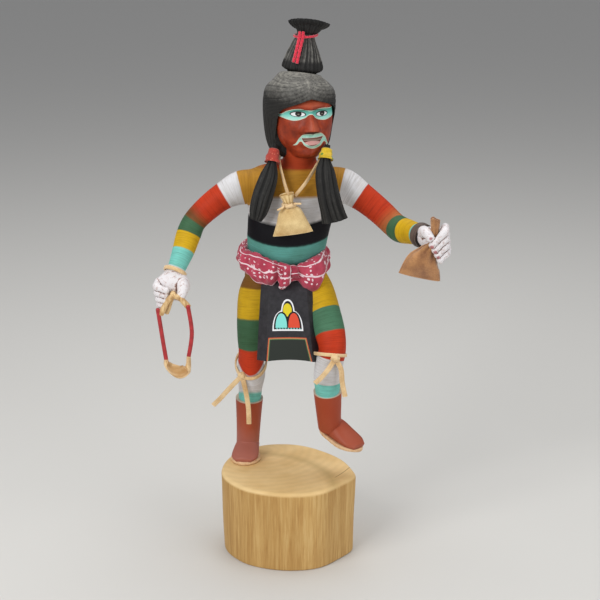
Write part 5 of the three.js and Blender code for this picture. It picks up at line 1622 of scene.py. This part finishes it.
def sash_surface(turns=720, rows=110):
    """Over turn a and place s across the cloth: section angle from 135 degrees inside the top to -127
    inside the bottom, between the two edges, scaled by long leaning folds and sixteen small random waves.
    In front the ring is squarer, |cos|^3 + |sin|^3 = 1. The lobe on the left is puffed out; a deep crease
    parts it from the gathers."""
    a = np.linspace(0, 2 * np.pi, turns, endpoint=False)[:, None]
    s = np.linspace(0, 1, rows)[None, :]
    section = np.radians(135 - 262 * s)
    fold = 0.14 * np.sin(9 * a + 2 * section) + 0.1 * np.sin(17 * a + 1)
    fold = fold - 0.2 * np.abs(np.sin(7 * a + 5 * s + 0.8 * np.sin(3 * a)))
    fold = fold + 0.12 * np.abs(np.sin(4 * np.pi * s + 1.5 * np.sin(5 * a) + 2 * np.sin(2 * a)))
    small = sum(np.sin(n * a + k * s + p) for n, k, p in crumple) * 0.026
    degrees = np.degrees(a)
    puff = np.exp(-(((degrees - 309) / 14) ** 2))
    crease = 0.55 * np.exp(-(((degrees - 289 - 4 * s) / 2.2) ** 2))
    crease = crease + 0.4 * np.exp(-(((degrees - 263) / 2.5) ** 2))
    scale = 1.04 + (fold + small) * (1 - 0.5 * puff) + 0.35 * puff - crease
    high, low = (np.interp(degrees, *zip(*edge)) for edge in (upper_edge, lower_edge))
    frayed = 0.0004 * np.sin(97 * a) * np.sin(61 * a + 1) * (s > 0.93)
    out = np.concatenate([np.cos(a), np.sin(a), np.zeros_like(a)], 1)
    squarer = (np.abs(np.cos(a)) ** 3 + np.abs(np.sin(a)) ** 3) ** (-1 / 3)
    in_front = np.clip(-3 * np.sin(a), 0, 1)
    middle = place(sash_centre) + out * [*sash_radii, 0] * (1 + (squarer - 1) * in_front)
    middle = middle + (high + low) / 2 * [0, 0, share]
    bulge = scale * sash_depth / 2 * np.cos(section) + 0.8 * share * puff * np.sin(np.pi * s)
    rings = middle[:, None] + out[:, None] * bulge[..., None]
    rise = (high - low) / 2 * share * np.sin(section) * (0.75 + 0.25 * scale) + frayed
    rings = rings + np.array([0, 0, 1]) * rise[..., None]
    index = np.arange(turns * rows).reshape(turns, rows)
    after = np.roll(index, -1, axis=0)
    quads = np.stack([index[:, :-1], index[:, 1:], after[:, 1:], after[:, :-1]], -1).reshape(-1, 4)
    along = np.broadcast_to(a * cloth_radius, rings.shape[:2])
    down = np.broadcast_to(s * cloth_width, rings.shape[:2])
    return rings.reshape(-1, 3), quads.tolist(), along, down


# %% Bandana print
# Crimson cotton: rows of white dots 2 mm apart, a wavy double line, scattered small figures, a pale frayed
# edge.
bandana, tree, shader, where = finish("printed bandana cotton", Roughness=0.88, Sheen_Weight=0.3)
along = add(tree, "Attribute", {"attribute_name": "cloth_along"}, output="Fac")
down = add(tree, "Attribute", {"attribute_name": "cloth_down"}, output="Fac")
cloth = add(tree, "CombineXYZ", inputs={"X": along, "Y": down})
wander = add(tree, "TexNoise", inputs={"Vector": cloth, "Scale": 160, "Detail": 1}, output="Color")
bent = add(tree, "VectorMath", {"operation": "MULTIPLY_ADD"}, {0: wander, 1: (0.004, 0.004, 0), 2: cloth})
cells = add(tree, "TexVoronoi", {"feature": "F1"}, {"Vector": bent, "Scale": 420, "Randomness": 0.35},
            "Distance")
dots = add(tree, "Math", {"operation": "LESS_THAN"}, {0: cells, 1: 0.26})
patches = add(tree, "TexNoise", inputs={"Vector": cloth, "Scale": 95, "Detail": 0})
sparse = add(tree, "Math", {"operation": "GREATER_THAN"}, {0: patches, 1: 0.56})
scattered = add(tree, "Math", {"operation": "MULTIPLY"}, {0: dots, 1: sparse})
waving = add(tree, "TexWave", {"wave_type": "BANDS", "bands_direction": "Y"},
             {"Vector": bent, "Scale": 42, "Distortion": 2.5, "Detail": 1, "Detail Scale": 2}, "Fac")
line = add(tree, "Math", {"operation": "GREATER_THAN"}, {0: waving, 1: 0.965})
edge = add(tree, "Math", {"operation": "GREATER_THAN"}, {0: down, 1: 0.0308})  # the last 1.2 mm is the hem
printed = add(tree, "Math", {"operation": "MAXIMUM"}, {0: scattered, 1: line})
# One border of the print runs down the puffed lobe: a white line and a column of dots 3.2 mm apart beside it
border_at, dots_at, dot_step = 0.1421, 0.1384, 0.0032
squared = add(tree, "Math", {"operation": "MULTIPLY"}, {0: down, 1: down})
column = add(tree, "Math", {"operation": "MULTIPLY_ADD"}, {0: squared, 1: 3.2, 2: along})
border = add(tree, "Math", {"operation": "COMPARE"}, {0: column, 1: border_at, 2: 0.0004})
off_side = add(tree, "Math", {"operation": "SUBTRACT"}, {0: column, 1: dots_at})
off_row = add(tree, "Math", {"operation": "PINGPONG"}, {0: down, 1: dot_step / 2})
off_dot = add(tree, "VectorMath", {"operation": "LENGTH"}, {
    0: add(tree, "CombineXYZ", inputs={"X": off_side, "Y": off_row})}, "Value")
dotted = add(tree, "Math", {"operation": "LESS_THAN"}, {0: off_dot, 1: 0.0008})
bordering = add(tree, "Math", {"operation": "MAXIMUM"}, {0: border, 1: dotted})
printed = add(tree, "Math", {"operation": "MAXIMUM"}, {0: printed, 1: bordering})
white_parts = add(tree, "Math", {"operation": "MAXIMUM"}, {0: printed, 1: edge})
dye = add(tree, "TexNoise", inputs={"Vector": where, "Scale": 120, "Detail": 4})
ground = add(tree, "ValToRGB", {"stops": [(0.3, rgb("#8e1f36")), (0.7, rgb("#c04058"))]}, {"Fac": dye},
             "Color")
colour = add(tree, "MixRGB", inputs={"Fac": white_parts, "Color1": ground, "Color2": rgb("#e6cdd2")})
tree.links.new(colour, shader.inputs["Base Color"])
threads = add(tree, "TexNoise", inputs={"Vector": where, "Scale": 2400, "Detail": 1})
bump = add(tree, "Bump", inputs={"Height": threads, "Strength": 0.35, "Distance": 0.0003})
tree.links.new(bump, shader.inputs["Normal"])

# %% Tie the sash
points, faces, along_cloth, down_cloth = sash_surface()
knot_rows = [[-0.1, -1.9, 53.3, 0.8, 0.8], [-0.2, -2.7, 52.0, 1.0, 1.0], [-0.5, -3.0, 50.6, 1.25, 1.1],
             [-1.1, -2.8, 49.2, 1.15, 0.9], [-1.8, -2.4, 48.2, 0.5, 0.5]]


def knot_folds(angle, t):
    """Sharp valleys |sin 4a| and a slow swelling along the gathered piece."""
    return 1.05 - 0.24 * np.abs(np.sin(4 * angle + 0.9 * t)) + 0.1 * np.sin(3.4 * t + 2 * angle)


knot_form = closed_surface(*loft(knot_rows, rows=60, around=90, carve=knot_folds, dome=0.5))
both = several((points, faces), knot_form)
sash_mesh = mesh_of("sash", *both)
knot_xyz = both[0][len(points):]
store(sash_mesh, "cloth_along", np.concatenate([along_cloth.ravel(), dots_at + knot_xyz[:, 0] + 0.6 * share]))
store(sash_mesh, "cloth_down", np.concatenate([down_cloth.ravel(), place([0, 0, 54.5])[2] - knot_xyz[:, 2]]))
sash = piece_of("sash", sash_mesh, [bandana], ["waist_sash"])
corners = points[np.array(faces)]
cloth_area = np.linalg.norm(np.cross(corners[:, 2] - corners[:, 0], corners[:, 3] - corners[:, 1]),
                            axis=1).sum() / 2
print("sash cloth", round(cloth_area * 1e4, 1), "square cm,", len(knot_xyz), "points in the knot")

# %% Floor
# Plain pale card that the object stands on, wide enough to meet the horizon.
reach = 8
floor_corners = [(-reach, -reach, 0), (reach, -reach, 0), (reach, reach, 0), (-reach, reach, 0)]
floor_mesh = mesh_of("floor", floor_corners, [(0, 1, 2, 3)], smooth=False)
floor = bpy.data.objects.new("floor", floor_mesh)
scene.collection.objects.link(floor)
card, _, shader, _ = finish("pale card", Roughness=0.8)
shader.inputs["Base Color"].default_value = rgb("#cfcdc8")
floor_mesh.materials.append(card)
